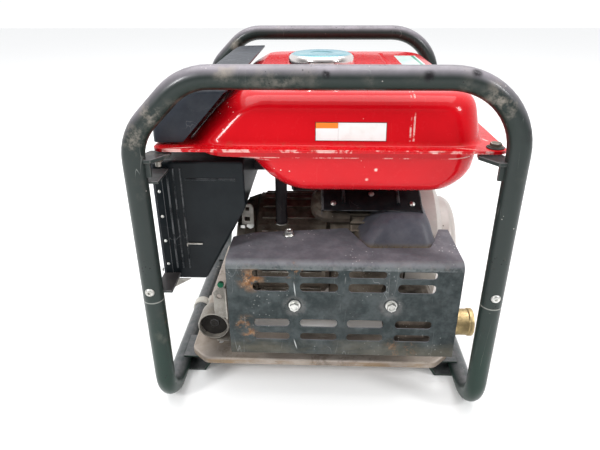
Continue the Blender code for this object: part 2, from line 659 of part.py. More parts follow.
def cylinder_and_head():
    """The finned cylinder and head, leaning forward, with the spark plug and the pressed head shroud."""
    centre = on_crank(CYLINDER_X)
    foot = centre + AXIS * (DECK + GAP)
    barrel = cylinder("cylinder", "casting", BARREL_RADIUS, foot, centre + AXIS * (HEAD_START - GAP), 24)
    base_x = (CYLINDER_X - 0.034, CYLINDER_X + 0.034)
    join(barrel, tilted_box("base_flange", None, base_x, DECK + GAP, DECK + 0.006, -0.034, 0.034))
    for index in range(4):
        start = DECK + 0.012 + index * 0.0105
        join(barrel, tilted_box("fin", None, FIN_X, start, start + 0.0022, -FIN_HALF_N, FIN_HALF_N))
    top = HEAD_START - GAP
    join(barrel, tilted_box("top_deck", None, base_x, top - 0.004, top, -0.037, 0.037))
    join(barrel, cylinder("spigot", None, 0.0318, centre + AXIS * 0.044, centre + AXIS * 0.060, 24))
    bore_start = centre + AXIS * 0.030
    cut(barrel, cylinder("bore", None, BORE_RADIUS, bore_start, centre + AXIS * 0.150, 24))

    head_x = (CYLINDER_X - HEAD_HALF_X, CYLINDER_X + HEAD_HALF_X)
    block_end = HEAD_START + 0.013
    head = tilted_box("cylinder_head", "casting", head_x, HEAD_START, block_end, -0.036, 0.036, 0.002)
    for index in range(6):
        across = -0.032 + index * 0.0115
        join(head, tilted_box("head_fin", None, head_x, block_end - 0.003, HEAD_END, across, across + 0.0025))
    plug_at = centre + AXIS * (HEAD_START + PORT_ALONG)
    plug_at.x = CYLINDER_X + PLUG_OFFSET
    join(head, cylinder("plug_boss", None, 0.010, plug_at, plug_at + NORMAL * 0.040, 16))
    cut(head, cylinder("plug_hole", None, 0.0064, plug_at + NORMAL * 0.012, plug_at + NORMAL * 0.050, 16))

    seat = plug_at + NORMAL * (0.040 + GAP)
    plug = cylinder("spark_plug", "steel", 0.0095, seat, seat + NORMAL * 0.009, 6)
    join(plug, cylinder("plug_thread", None, 0.0060, seat - NORMAL * 0.022, seat + NORMAL * 0.001, 12))
    join(plug, cylinder("plug_insulator", None, 0.0048, seat + NORMAL * 0.008, seat + NORMAL * 0.024, 12))
    cap_low = seat + NORMAL * 0.0095
    cap = cylinder("spark_plug_cap", "rubber", 0.0090, cap_low, cap_low + NORMAL * 0.024, 16)
    lead_start = cap_low + NORMAL * 0.018
    join(cap, cylinder("cap_elbow", None, 0.0055, lead_start, lead_start + RIGHT * 0.014, 12))
    socket_top = seat + NORMAL * 0.0245
    cut(cap, cylinder("cap_socket", None, 0.0053, cap_low - NORMAL * 0.002, socket_top, 12))
    away = lead_start + RIGHT * (0.014 + GAP)
    end = Vector((FAN_COVER_X[0] - GAP, away.y + 0.030, 0.2450))
    route = [away, away + RIGHT * 0.010, end + Vector((-0.012, 0.0, 0.008)), end]
    tube("spark_plug_lead", "rubber", fillet(route, 0.008, math.radians(30.0)), 0.0033, 1)
    head_shroud()


def head_shroud():
    """A pressed hood over the head's end, in the notch of the muffler cover, and the air guide behind it."""
    bottom, top = HOOD_Z
    back = HOOD_BACK
    low = [(0.061, -0.181, bottom), (0.141, -0.179, bottom), (0.157, back, bottom), (0.0435, back, bottom)]
    high = [(0.086, -0.151, top), (0.134, -0.151, top), (0.138, back, top), (0.083, back, top)]
    bm = loft([low, high])
    behind = [face for face in bm.faces if all(abs(vert.co.y - back) < 1e-6 for vert in face.verts)]
    bmesh.ops.delete(bm, geom=behind, context="FACES")
    inner = [edge for edge in bm.edges if len(edge.link_faces) == 2]
    bmesh.ops.bevel(bm, geom=inner, offset=0.009, segments=2, profile=0.5, affect="EDGES")
    shroud = add("head_shroud", surface(bm, "head_shroud"), "cover paint")
    thicken(shroud, COVER_SHEET)
    flange_low = bottom + 0.001
    flange_high = flange_low + COVER_SHEET
    join(shroud, box("shroud_flange", None, (0.056, -0.196, flange_low), (0.146, -0.1785, flange_high)))
    start, end = Vector(GUIDE_START), Vector(GUIDE_END)
    half = Vector(((GUIDE_X[1] - GUIDE_X[0]) / 2.0, (end - start).length / 2.0, COVER_SHEET / 2.0))
    centre = (start + end) / 2.0 + Vector((sum(GUIDE_X) / 2.0, 0.0, 0.0))
    slope = math.atan2(end.z - start.z, end.y - start.y)
    join(shroud, box("air_guide", None, centre - half, centre + half, rotation=(slope, 0.0, 0.0)))
    join(shroud, box("guide_weld", None, (0.088, -0.1460, 0.2545), (0.130, -0.1410, 0.2590)))


def crank_train():
    """Piston, connecting rod, the crankshaft's two halves, rotor, flywheel and cooling fan."""
    wrist = on_crank(CYLINDER_X) + AXIS * (CRANK_THROW + ROD_LENGTH)
    radius = BORE_RADIUS - 0.00015
    piston = cylinder("piston", "casting", radius, wrist - AXIS * 0.010, wrist + AXIS * 0.018, 24)
    cut(piston, cylinder("piston_hollow", None, 0.0235, wrist - AXIS * 0.020, wrist + AXIS * 0.0135, 16))
    pin = RIGHT * 0.0255
    join(piston, cylinder("wrist_pin", None, 0.0062, wrist - pin, wrist + pin, 24))

    pin_at = wrist - AXIS * ROD_LENGTH
    half = RIGHT * 0.007
    rod = cylinder("connecting_rod", "steel", 0.0155, pin_at - half, pin_at + half, 24)
    join(rod, cylinder("small_end", None, 0.0100, wrist - half, wrist + half, 24))
    rod_x = (CYLINDER_X - 0.0045, CYLINDER_X + 0.0045)
    shank_end = CRANK_THROW + ROD_LENGTH - 0.006
    join(rod, tilted_box("shank", None, rod_x, CRANK_THROW + 0.008, shank_end, -0.006, 0.006))
    pin = RIGHT * (WEB_HALF_GAP - GAP)
    join(rod, cylinder("crank_pin", None, 0.009, pin_at - pin, pin_at + pin, 20))
    cut(rod, cylinder("small_end_bore", None, 0.0066, wrist - half * 2, wrist + half * 2, 24))

    left, right = CYLINDER_X - WEB_HALF_GAP, CYLINDER_X + WEB_HALF_GAP
    web = 0.031
    web_width = 0.012
    shaft = SHAFT_RADIUS
    journal = JOURNAL_RADIUS
    profile = [(0.0, left), (web, left), (web, left - web_width), (shaft, left - web_width)]
    turned_x("crankshaft_left", "steel", profile + [(shaft, -0.126), (0.0, -0.126)])
    profile = [(0.0, 0.168), (journal, 0.168), (journal, right + web_width), (web, right + web_width)]
    turned_x("crankshaft_right", "steel", profile + [(web, right), (0.0, right)])
    bore = shaft + GAP
    left, right = ROTOR_X
    radius = ROTOR_RADIUS
    profile = [(bore, right), (0.030, right), (radius, right - 0.012), (radius, left + 0.012)]
    turned_x("rotor", "copper", profile + [(0.030, left), (bore, left)])
    bore = journal + GAP
    profile = [(bore, 0.142), (0.074, 0.142), (0.074, 0.124), (0.060, 0.124), (0.060, 0.134), (0.030, 0.134)]
    turned_x("flywheel", "dark iron", profile + [(0.030, 0.124), (bore, 0.124)])
    root, tip = FAN_RADII
    outline = []
    for index in range(BLADES):
        turn = 2.0 * math.pi * index / BLADES
        for radius, lead in ((root, -0.20), (root, -0.05), (tip, 0.02), (tip, 0.07)):
            angle = turn + lead
            outline.append((CRANK_Y + radius * math.cos(angle), CRANK_Z + radius * math.sin(angle)))
    fan = extruded("cooling_fan", "dark plastic", outline, "YZ", *FAN_X)
    cut(fan, cylinder("fan_bore", None, 0.030, on_crank(0.10), on_crank(0.18), 20))


def alternator():
    """The stator housing, the end cover with its foot, and the sleeve that carries its wires up."""
    left, right = STATOR_X
    radius = STATOR_RADIUS
    profile = [(radius - 0.006, right), (radius, right - 0.006), (radius, left + 0.004)]
    profile += [(radius - 0.004, left), (0.0525, left), (0.0525, right - 0.014)]
    profile += [(0.0660, right - 0.008), (0.0660, right)]
    turned_x("stator", "casting", profile)
    cover_right = left - GAP
    end = END_COVER_X
    bearing = SHAFT_RADIUS + 0.0005
    profile = [(radius - 0.002, cover_right), (radius - 0.008, -0.114), (0.056, end + 0.004), (0.040, end)]
    profile += [(bearing, end), (bearing, end + 0.0055), (0.048, end + 0.0055), (0.064, -0.112)]
    shell = turned_x("alternator_end_cover", "casting", profile + [(0.068, cover_right)])
    join(shell, box("alternator_foot", None, (-0.128, -0.083, 0.062), (-0.104, 0.023, 0.092), 0.003))
    cut(shell, cylinder("foot_clearance", None, 0.0635, on_crank(-0.1125), on_crank(-0.09), 24))
    bottom, top = SLEEVE_Z
    route = [(*SLEEVE, bottom), (*SLEEVE, top), (BOX_RIGHT + GAP, SLEEVE[1], top)]
    tube("alternator_cable", "rubber", fillet(route, 0.018), SLEEVE_RADIUS, 2)


def starter():
    """The fan cover, and the recoil starter with its reel, rope and grip."""
    left, right = FAN_COVER_X
    radius = FAN_COVER_RADIUS
    wall = DRUM_WALL
    profile = [(radius - 0.008, right), (radius, right - 0.008), (radius, left), (radius - wall, left)]
    profile += [(radius - wall, right - 0.009), (radius - 0.009, right - wall)]
    profile += [(0.060, right - wall), (0.060, right)]
    turned_x("fan_cover", "light grey", profile, 32)
    left, right = RECOIL_X
    radius = RECOIL_RADIUS
    profile = [(0.0, right), (radius - 0.012, right), (radius - 0.002, right - 0.007)]
    profile += [(radius, right - 0.014), (radius, left), (radius - wall, left)]
    profile += [(radius - wall, right - 0.014), (radius - 0.013, right - wall)]
    housing = turned_x("recoil_housing", "light grey", profile + [(0.0, right - wall)], 24)
    rope = Vector((ROPE_X, CRANK_Y, ROPE_Z))
    cut(housing, cylinder("rope_hole", None, 0.005, rope + BACK * 0.025, rope + BACK * 0.1, 12))
    profile = [(0.0, 0.1900), (0.0280, 0.1900), (0.0255, 0.1870), (0.0255, 0.1815)]
    profile += [(0.0280, 0.1805), (0.0280, 0.1780), (0.0, 0.1780)]
    turned_x("recoil_reel", "dark plastic", profile, 16)
    face = math.sqrt(RECOIL_RADIUS**2 - (ROPE_Z - CRANK_Z) ** 2) + 0.005
    cylinder("recoil_rope", "white", 0.0022, rope + BACK * 0.040, rope + BACK * (face - GAP), 8)
    stem = rope + BACK * face
    low = stem + Vector((-0.0075, 0.008, -0.032))
    grip = box("recoil_grip", "rubber", low, stem + Vector((0.0075, 0.024, 0.032)), 0.005)
    join(grip, cylinder("grip_stem", None, 0.0070, stem, stem + BACK * 0.012, 12))


def hex_bolt(name, place, direction, shank):
    """A hexagon flange bolt seated at a point, its head along the direction."""
    place = Vector(place)
    direction = Vector(direction)
    bolt = cylinder(name, "steel", 0.0078, place, place + direction * 0.0020, 14)
    tip = place + direction * 0.0072
    join(bolt, cylinder(name + "_hexagon", None, 0.0058, place + direction * 0.001, tip, 6))
    end = place - direction * shank
    join(bolt, cylinder(name + "_shank", None, 0.0030, end, place + direction * 0.0005, 8))


def slot(centre_x, centre_z, width, height, ends=3):
    """The outline of a slot with round ends."""
    radius = height / 2.0
    points = []
    for sign in (1.0, -1.0):
        for i in range(ends + 1):
            turn = math.radians(-90.0 + 180.0 * i / ends)
            x = centre_x + sign * (width / 2.0 - radius) + sign * radius * math.cos(turn)
            points.append((x, centre_z + sign * radius * math.sin(turn)))
    return points


def exhaust():
    """The muffler with its inlet stub, the tail pipe, and the slotted sheet cover with its bolts."""
    low = Vector((MUFFLER_X[0], MUFFLER_Y[0], MUFFLER_Z[0]))
    high = Vector((MUFFLER_X[1], MUFFLER_Y[1], MUFFLER_Z[1]))
    can = box("muffler", "dark iron", low, high, 0.018, 3)
    x, y = EXHAUST_PORT
    join(can, cylinder("inlet_stub", None, 0.011, (x, y - 0.004, 0.150), (x, y + 0.010, 0.186), 16))
    wall = Vector((0.0016, 0.0016, 0.0016))
    cut(can, box("muffler_hollow", None, low + wall, high - wall, 0.0165, 2))
    tail = Vector((MUFFLER_X[1], TAIL_Y, TAIL_Z))
    cut(can, cylinder("tail_opening", None, 0.0155, tail - RIGHT * 0.01, tail + RIGHT * 0.01, 20))
    start, end = tail.x + GAP, TAIL_END
    pipe = [(0.0170, end), (0.0190, end - 0.001), (0.0190, end - 0.006), (0.0180, end - 0.008)]
    pipe += [(0.0180, start), (0.0160, start), (0.0160, end - 0.001)]
    turned("tail_pipe", "brass", pipe, (0.0, TAIL_Y, TAIL_Z), ALONG_X, 20)

    front = COVER_FRONT
    top = COVER_Z[1]
    radius = COVER_BEND
    bend = [(front, COVER_Z[0])]
    for i in range(4):
        turn = math.radians(180.0 - 30.0 * i)
        bend.append((front + radius + radius * math.cos(turn), top - radius + radius * math.sin(turn)))
    bend.append((COVER_BACK, top))
    bm = bmesh.new()
    columns = [[bm.verts.new((x, y, z)) for y, z in bend] for x in COVER_X]
    for i in range(len(bend) - 1):
        bm.faces.new((columns[0][i], columns[1][i], columns[1][i + 1], columns[0][i + 1]))
    cover = add("muffler_cover", surface(bm, "muffler_cover"), "cover paint")
    thicken(cover, COVER_SHEET)
    cut(cover, extruded("notch", None, HOOD_NOTCH, "XY", top - 0.008, top + 0.008))
    cut(cover, extruded("back_slant", None, BACK_SLANT, "XY", top - 0.008, top + 0.008))
    for x, width in SLOT_COLUMNS:
        for z, height in SLOT_ROWS:
            outline = slot(x, z, width, height)
            cut(cover, extruded("slot", None, outline, "XZ", front - 0.01, front + 0.01))
    for name, (x, z) in zip(("cover_bolt_left", "cover_bolt_right"), FRONT_BOLTS):
        seat = Vector((x, front, z))
        cut(cover, cylinder("bolt_hole", None, BOLT_HOLE, seat - BACK * 0.01, seat + BACK * 0.005, 12))
        hex_bolt(name, seat - BACK * GAP, -BACK, 0.005)
    seat = Vector((*TOP_BOLT, top))
    cut(cover, cylinder("bolt_hole_top", None, BOLT_HOLE, seat - UP * 0.005, seat + UP * 0.01, 12))
    hex_bolt("cover_bolt_top", seat + UP * GAP, UP, 0.008)


def intake():
    """The intake pipe, the carburettor with its choke lever, and the air cleaner."""
    head_left = CYLINDER_X - HEAD_HALF_X
    port = CRANK + AXIS * (HEAD_START + PORT_ALONG) + NORMAL * 0.016
    port.x = head_left - GAP
    route = [port, (-0.006, port.y, port.z), (-0.006, -0.080, CARB_Z + 0.003), (PORT_X, -0.030, CARB_Z)]
    route.append((PORT_X, CARB_Y[0] - GAP, CARB_Z))
    pipe = tube("intake_pipe", "casting", fillet(route, (0.016, 0.016, 0.016)), 0.0100, 2)
    bore = list(route)
    bore[-1] = (PORT_X, CARB_Y[0] + 0.004, CARB_Z)
    bore[0] = (port.x + 0.004, port.y, port.z)
    cut(pipe, tube("intake_bore", None, fillet(bore, (0.016, 0.016, 0.016)), 0.0075, 1))

    front, back = CARB_Y
    middle = Vector((PORT_X, (front + back) / 2.0, CARB_Z))
    throat = Vector((PORT_X, 0.0, CARB_Z))
    body = cylinder("carburettor", "casting", 0.0150, throat + BACK * front, throat + BACK * back, 20)
    for y in (front, back - 0.004):
        low = (PORT_X - 0.024, y + 0.0001, CARB_Z - 0.0155)
        join(body, box("flange", None, low, (PORT_X + 0.024, y + 0.0039, CARB_Z + 0.0155), 0.0015, 1))
    join(body, cylinder("float_bowl", None, 0.0160, middle - UP * 0.042, middle - UP * 0.008, 20))
    join(body, cylinder("fuel_inlet", None, 0.0034, middle, middle + RIGHT * 0.019, 10))
    cut(body, cylinder("venturi", None, 0.0080, throat, throat + BACK * 0.1, 16))

    pivot = middle + Vector((-0.015 - GAP, 0.010, 0.0))
    lever = cylinder("choke_lever", "black sheet", 0.0040, pivot, pivot - RIGHT * 0.015, 12)
    low = pivot + Vector((-0.0142, -0.003, 0.0))
    join(lever, box("choke_arm", None, low, pivot + Vector((-0.0118, 0.003, 0.034)), 0.0008, 1))

    start = back + 0.0005
    low = Vector((CLEANER_X[0], start, CLEANER_Z[0]))
    high = Vector((CLEANER_X[1], CLEANER_BACK, CLEANER_Z[1]))
    case = box("air_cleaner_case", "dark plastic", low, high, 0.004, 1)
    wall = CLEANER_WALL
    hollow = high + Vector((-wall, 0.010, -wall))
    cut(case, box("case_hollow", None, low + Vector((wall, wall, wall)), hollow))
    inlet = throat + BACK * start
    cut(case, cylinder("case_inlet", None, 0.0090, inlet - BACK * 0.01, inlet + BACK * 0.01, 16))
    inset = 0.008
    foam_low = low + Vector((inset, 0.032, inset))
    box("air_filter_element", "foam", foam_low, high - Vector((inset, 0.002, inset)), 0.004, 1)
    lid_low = Vector((low.x - 0.001, high.y + GAP, low.z - 0.001))
    lid_high = Vector((high.x + 0.001, CLEANER_LID, high.z + 0.001))
    cover = box("air_cleaner_cover", "dark plastic", lid_low, lid_high, 0.005, 2)
    hollow_low = Vector((low.x + 0.002, high.y - 0.002, low.z + 0.002))
    hollow_high = Vector((high.x - 0.002, CLEANER_LID - 0.003, high.z - 0.002))
    cut(cover, box("cover_hollow", None, hollow_low, hollow_high))


def controls():
    """The control box on the left, its panel, and what is mounted on the panel."""
    left = BOX_LEFT
    low_z, high_z = BOX_Z
    outline = [(left, low_z), (left, high_z), (BOX_RIGHT, high_z), (BOX_RIGHT, 0.282), (-0.150, low_z)]
    open_prism("control_box", "black sheet", outline, BOX_Y, (0,), 0.003, 0.0016)
    face = left - GAP - PANEL
    low = (face, BOX_Y[0] + 0.001, low_z + 0.001)
    high = (left - GAP, BOX_Y[1] - 0.001, high_z - 0.001)
    panel = box("control_panel", "cover paint", low, high, 0.0008, 1)
    outside = face - GAP
    box("power_outlet", "dark plastic", (outside - 0.006, 0.060, 0.235), (outside, 0.140, 0.285), 0.002, 1)
    meter = [(0.0, 0.0), (0.019, 0.0), (0.022, -0.003), (0.022, -0.007), (0.0, -0.007)]
    turned("voltmeter", "white", meter, (outside - 0.007, *METER_AT), (0.0, -math.pi / 2.0, 0.0), 16)
    seat = Vector((outside, *SWITCH_AT))
    knob = cylinder("engine_switch", "rubber", 0.013, seat, seat - RIGHT * 0.005, 20)
    low = seat + Vector((-0.010, -0.0035, -0.0115))
    join(knob, box("switch_bar", None, low, seat + Vector((-0.004, 0.0035, 0.0115)), 0.001, 1))
    seat = Vector((outside, *BREAKER_AT))
    low = seat + Vector((-0.004, -0.022, -0.014))
    high = seat + Vector((GAP + 0.001, 0.022, 0.014))
    join(panel, box("breaker_surround", None, low, high, 0.0008, 1))
    low = seat + Vector((-0.020, -0.0145, -0.0075))
    cut(panel, box("breaker_window", None, low, seat + Vector((GAP, 0.0145, 0.0075))))
    low = seat + Vector((-0.0075, -0.014, -0.007))
    box("breaker_button", "rubber", low, seat + Vector((-0.001, 0.014, 0.007)), 0.0015, 1)


frame()
base_pan()
tank()
fuel_line()
crankcase()
cylinder_and_head()
crank_train()
alternator()
starter()
exhaust()
intake()
controls()
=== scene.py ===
"""Looks for a portable petrol generator in an open tube frame, on a pale floor under soft light.

Metres, +Z up: +X is the recoil starter's side, -X the control panel and -Y the muffler cover.
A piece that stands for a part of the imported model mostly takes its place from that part's box. Other places
and sizes are written here in the same frame, and every mesh is kept where it stands.
"""

import math

import bmesh
import bpy
from mathutils import Matrix, Vector


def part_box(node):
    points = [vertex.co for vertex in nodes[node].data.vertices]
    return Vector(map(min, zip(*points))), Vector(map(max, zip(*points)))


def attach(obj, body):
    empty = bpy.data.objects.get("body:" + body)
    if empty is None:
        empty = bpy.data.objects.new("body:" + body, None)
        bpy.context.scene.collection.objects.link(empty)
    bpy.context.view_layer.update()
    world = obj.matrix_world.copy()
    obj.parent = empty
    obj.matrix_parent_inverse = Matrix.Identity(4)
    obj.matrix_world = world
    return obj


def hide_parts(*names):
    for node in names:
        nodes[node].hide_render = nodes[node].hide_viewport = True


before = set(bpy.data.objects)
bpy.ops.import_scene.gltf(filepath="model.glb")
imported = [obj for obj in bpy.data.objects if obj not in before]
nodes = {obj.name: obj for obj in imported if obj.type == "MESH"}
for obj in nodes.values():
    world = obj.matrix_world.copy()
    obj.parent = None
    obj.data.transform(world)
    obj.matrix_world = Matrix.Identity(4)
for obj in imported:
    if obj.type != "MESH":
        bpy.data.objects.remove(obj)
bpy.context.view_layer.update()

X = Vector((1.0, 0.0, 0.0))
Y = Vector((0.0, 1.0, 0.0))
Z = Vector((0.0, 0.0, 1.0))

TUBE = 0.0127
LEG_X = 0.2075
HOOP_Y = 0.245
HOOP_TOP = 0.447
CHAMFER = 0.0635
SKID_BEND = 0.045
CRANK_Z = 0.150
COVER_FRONT = -0.228
COVER_BOLTS = ((-0.033, 0.160), (0.090, 0.162))
TANK_SHEET = 0.0016


def spans(node):
    """A node's extent along X, Y and Z, as three pairs."""
    low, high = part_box(node)
    return tuple((low[i], high[i]) for i in range(3))


def middle(span):
    return (span[0] + span[1]) / 2.0


def share(value):
    """A value held between 0 and 1."""
    return min(max(value, 0.0), 1.0)


def eased(value):
    """A value held between 0 and 1, with a soft start and end."""
    held = share(value)
    return held * held * (3.0 - 2.0 * held)


def around_x(degrees):
    """The direction that lies this many degrees round from +Y towards +Z."""
    angle = math.radians(degrees)
    return Vector((0.0, math.cos(angle), math.sin(angle)))


# ---------------------------------------------------------------- finishes


class Amount:
    """A number that varies over a surface: a socket that plain arithmetic adds Math nodes to."""

    def __init__(self, finish, socket):
        self.finish = finish
        self.socket = socket

    def __add__(self, other):
        return self.finish.maths("ADD", self, other)

    def __sub__(self, other):
        return self.finish.maths("SUBTRACT", self, other)

    def __rsub__(self, other):
        return self.finish.maths("SUBTRACT", other, self)

    def __mul__(self, other):
        return self.finish.maths("MULTIPLY", self, other)

    def __or__(self, other):
        return self.finish.maths("MAXIMUM", self, other)

    def __abs__(self):
        return self.finish.maths("ABSOLUTE", self)

    __radd__ = __add__
    __rmul__ = __mul__

    def rise(self, low, high):
        """0 below low and 1 above high, and the other way round where low is the larger."""
        sockets = {"Value": self, "From Min": low, "From Max": high}
        node = self.finish.node("MapRange", {"interpolation_type": "SMOOTHSTEP"}, sockets)
        return Amount(self.finish, node.outputs["Result"])

    def within(self, low, high, soft=0.0002):
        """1 between low and high, with a soft edge."""
        return self.rise(low - soft, low + soft) * self.rise(high + soft, high - soft)


class Finish:
    """A material built around one Principled shader."""

    def __init__(self, name, roughness=0.5, metallic=0.0, coat=0.0, coat_roughness=0.1, specular=0.5):
        self.material = bpy.data.materials.new(name)
        self.material.use_nodes = True
        self.tree = self.material.node_tree
        self.shader = self.tree.nodes["Principled BSDF"]
        self.shader.inputs["Roughness"].default_value = roughness
        self.shader.inputs["Metallic"].default_value = metallic
        self.shader.inputs["Coat Weight"].default_value = coat
        self.shader.inputs["Specular IOR Level"].default_value = specular
        self.shader.inputs["Coat Roughness"].default_value = coat_roughness
        self.place = self.node("TexCoord").outputs["Object"]
        axes = self.node("SeparateXYZ", sockets={"Vector": self.place})
        self.x, self.y, self.z = (Amount(self, axes.outputs[axis]) for axis in "XYZ")

    def node(self, kind, settings=None, sockets=None):
        """Add a node: its settings first, and then its sockets."""
        made = self.tree.nodes.new("ShaderNode" + kind)
        for name, value in (settings or {}).items():
            setattr(made, name, value)
        for name, value in (sockets or {}).items():
            socket = next(s for s in made.inputs if name in (s.identifier, s.name))
            self.join(socket, value)
        return made

    def join(self, socket, value):
        """Link a socket to an Amount or another socket, or set it to a plain value."""
        if isinstance(value, Amount):
            value = value.socket
        if isinstance(value, bpy.types.NodeSocket):
            self.tree.links.new(value, socket)
        elif isinstance(value, tuple) and len(value) == 3 and socket.type == "RGBA":
            socket.default_value = (*value, 1.0)
        else:
            socket.default_value = value

    def maths(self, operation, first, second=0.0):
        node = self.node("Math", {"operation": operation}, {"Value": first, "Value_001": second})
        return Amount(self, node.outputs["Value"])

    def stretched(self, scale, rotation=(0.0, 0.0, 0.0)):
        """The object's coordinates, turned and scaled."""
        sockets = {"Vector": self.place, "Rotation": rotation, "Scale": scale}
        return self.node("Mapping", sockets=sockets).outputs["Vector"]

    def noise(self, scale, detail=3.0, rough=0.5, place=None, warp=0.0):
        sockets = {"Vector": place or self.place, "Scale": scale, "Detail": detail, "Roughness": rough}
        sockets["Distortion"] = warp
        return Amount(self, self.node("TexNoise", {}, sockets).outputs["Fac"])

    def cells(self, scale):
        """How far a point lies from the nearest of many scattered points."""
        sockets = {"Vector": self.place, "Scale": scale}
        return Amount(self, self.node("TexVoronoi", {"feature": "F1"}, sockets).outputs["Distance"])

    def scratches(self, scale, stretch, rotation, width=0.004):
        """Fine lines: the crossings of a stretched, turned noise through its middle value."""
        place = self.stretched(stretch, rotation)
        line = abs(self.noise(scale, 2.0, 0.4, place, 0.6) - 0.5)
        return line.rise(width, 0.0) * self.noise(scale * 0.6, 2.0).rise(0.54, 0.64)

    def distance(self, centre):
        """How far a place on the object lies from a point."""
        sockets = {"Vector": self.place, "Vector_001": centre}
        return Amount(self, self.node("VectorMath", {"operation": "DISTANCE"}, sockets).outputs["Value"])

    def spot(self, centre, reach, core=0.2):
        """1 at a point on the object and 0 at a distance from it."""
        return self.distance(centre).rise(reach, reach * core)

    def spots(self, places, core=0.2):
        """1 at each of several points, given with their reaches, and 0 away from all of them."""
        first, *others = (self.spot(centre, reach, core) for centre, reach in places)
        for other in others:
            first = first | other
        return first

    def facing(self, axis):
        """How far the surface faces along X, Y or Z of the object."""
        normal = self.node("TexCoord").outputs["Normal"]
        split = self.node("SeparateXYZ", sockets={"Vector": normal})
        return Amount(self, split.outputs[axis])

    def edges(self):
        """1 on the narrow rounded edges and cut faces of a new piece, which are marked on its mesh."""
        node = self.node("Attribute", {"attribute_name": "edge"})
        return Amount(self, node.outputs["Fac"])

    def blend(self, amount, under, over):
        """Lay one colour over another."""
        sockets = {"Factor_Float": amount, "A_Color": under, "B_Color": over}
        node = self.node("Mix", {"data_type": "RGBA"}, sockets)
        return next(s for s in node.outputs if s.identifier == "Result_Color")

    def bump(self, height, distance, strength=1.0):
        node = self.node("Bump", {}, {"Height": height, "Distance": distance, "Strength": strength})
        return node.outputs["Normal"]

    def finished(self, colour, roughness=None, metallic=None, normal=None, coat=None):
        """Join what varies to the shader, and give the material."""
        for name, value in (
            ("Base Color", colour),
            ("Roughness", roughness),
            ("Metallic", metallic),
            ("Normal", normal),
            ("Coat Weight", coat),
        ):
            if value is not None:
                self.join(self.shader.inputs[name], value)
        return self.material


def frame_enamel():
    """Gunmetal stove enamel on the tubes: painted shade on what faces down, a painted top light on what faces
    up, a painted green floor reflection towards the bottom, and dust, chips and rubbing on top.
    """
    finish = Finish("frame_enamel", metallic=0.20, coat=0.22, coat_roughness=0.16, specular=0.15)
    mottle = finish.noise(38.0, 5.0, 0.6)
    up = finish.facing("Z")
    # Painted light: what faces down is darkened to a green-black painted shade, and what faces up is lightened
    # to a pale purple-grey painted top light.
    colour = finish.blend(up.rise(-0.70, 0.10), (0.005, 0.014, 0.010), (0.026, 0.034, 0.032))
    colour = finish.blend(up.rise(0.10, 0.85), colour, (0.225, 0.205, 0.230))
    # Painted reflection: the tubes turn greener towards the bottom, a painted reflection of a green floor.
    colour = finish.blend(finish.z.rise(0.24, 0.04) * 0.62, colour, (0.007, 0.034, 0.022))
    colour = finish.blend(mottle.rise(0.35, 0.75) * 0.30, colour, (0.022, 0.028, 0.025))
    dust = up.rise(0.45, 1.0) * finish.noise(90.0, 6.0, 0.7).rise(0.35, 0.75)
    colour = finish.blend(dust * 0.30, colour, (0.32, 0.29, 0.30))
    # Painted shade: up-facing flats between 0.10 m and 0.39 m, the bracket tops under the tank flange and
    # beside the control box, are darkened nearly to black.
    flat = up.rise(0.985, 0.998) * finish.z.within(0.10, 0.39, 0.01)
    colour = finish.blend(flat * 0.88, colour, (0.020, 0.019, 0.017))
    grain = finish.noise(46.0, 5.0, 0.7)
    rubbed = finish.noise(9.0, 3.0, 0.6).rise(0.55, 0.70) * 0.5
    for centre, reach in (
        ((-0.200, -0.255, 0.385), 0.026),
        ((-0.180, -0.255, 0.412), 0.020),
        ((0.180, -0.255, 0.428), 0.030),
        ((-0.165, 0.236, 0.428), 0.018),
        ((-0.100, -0.250, 0.455), 0.018),
    ):
        rubbed = rubbed | finish.spot(centre, reach)
    colour = finish.blend(rubbed * grain.rise(0.42, 0.66) * 0.75, colour, (0.30, 0.265, 0.225))
    smudges = (
        ((0.1030, -0.2560, 0.4500), 0.0085),
        ((0.1500, -0.2540, 0.4540), 0.0080),
        ((0.0020, -0.2560, 0.4520), 0.0065),
        ((0.2080, -0.2500, 0.3900), 0.0120),
    )
    smudge = finish.spots(smudges) * grain.rise(0.38, 0.52)
    colour = finish.blend(smudge, colour, (0.012, 0.010, 0.012))
    pits = finish.cells(210.0).rise(0.24, 0.14) * finish.noise(24.0, 3.0).rise(0.55, 0.64)
    colour = finish.blend(pits * 0.9, colour, (0.010, 0.009, 0.010))
    ragged = finish.noise(260.0, 2.0) * 0.10
    chips = (finish.cells(140.0) + ragged).rise(0.17, 0.13) * finish.noise(15.0, 3.0).rise(0.60, 0.64)
    colour = finish.blend(chips * 0.85, colour, (0.52, 0.50, 0.46))
    rust = finish.noise(85.0, 6.0, 0.75).rise(0.62, 0.70) * finish.noise(8.0, 2.0).rise(0.56, 0.64)
    colour = finish.blend(rust * 0.6, colour, (0.150, 0.085, 0.050))
    lines = finish.scratches(34.0, (1.0, 1.0, 0.10), (0.0, 0.3, 0.0), 0.003)
    colour = finish.blend(lines * 0.35, colour, (0.38, 0.39, 0.37))
    seam = finish.z.within(0.1772, 0.1788)
    colour = finish.blend(seam * 0.7, colour, (0.34, 0.35, 0.32))
    colour = finish.blend(finish.edges() * 0.25, colour, (0.20, 0.19, 0.18))
    roughness = 0.30 + mottle * 0.14 + dust * 0.16 + rust * 0.25 + pits * 0.2 + rubbed * 0.1
    relief = finish.noise(620.0, 2.0) * 0.25 - pits - chips * 0.8 + rust * 0.5
    return finish.finished(colour, roughness, None, finish.bump(relief, 0.00025, 0.5))


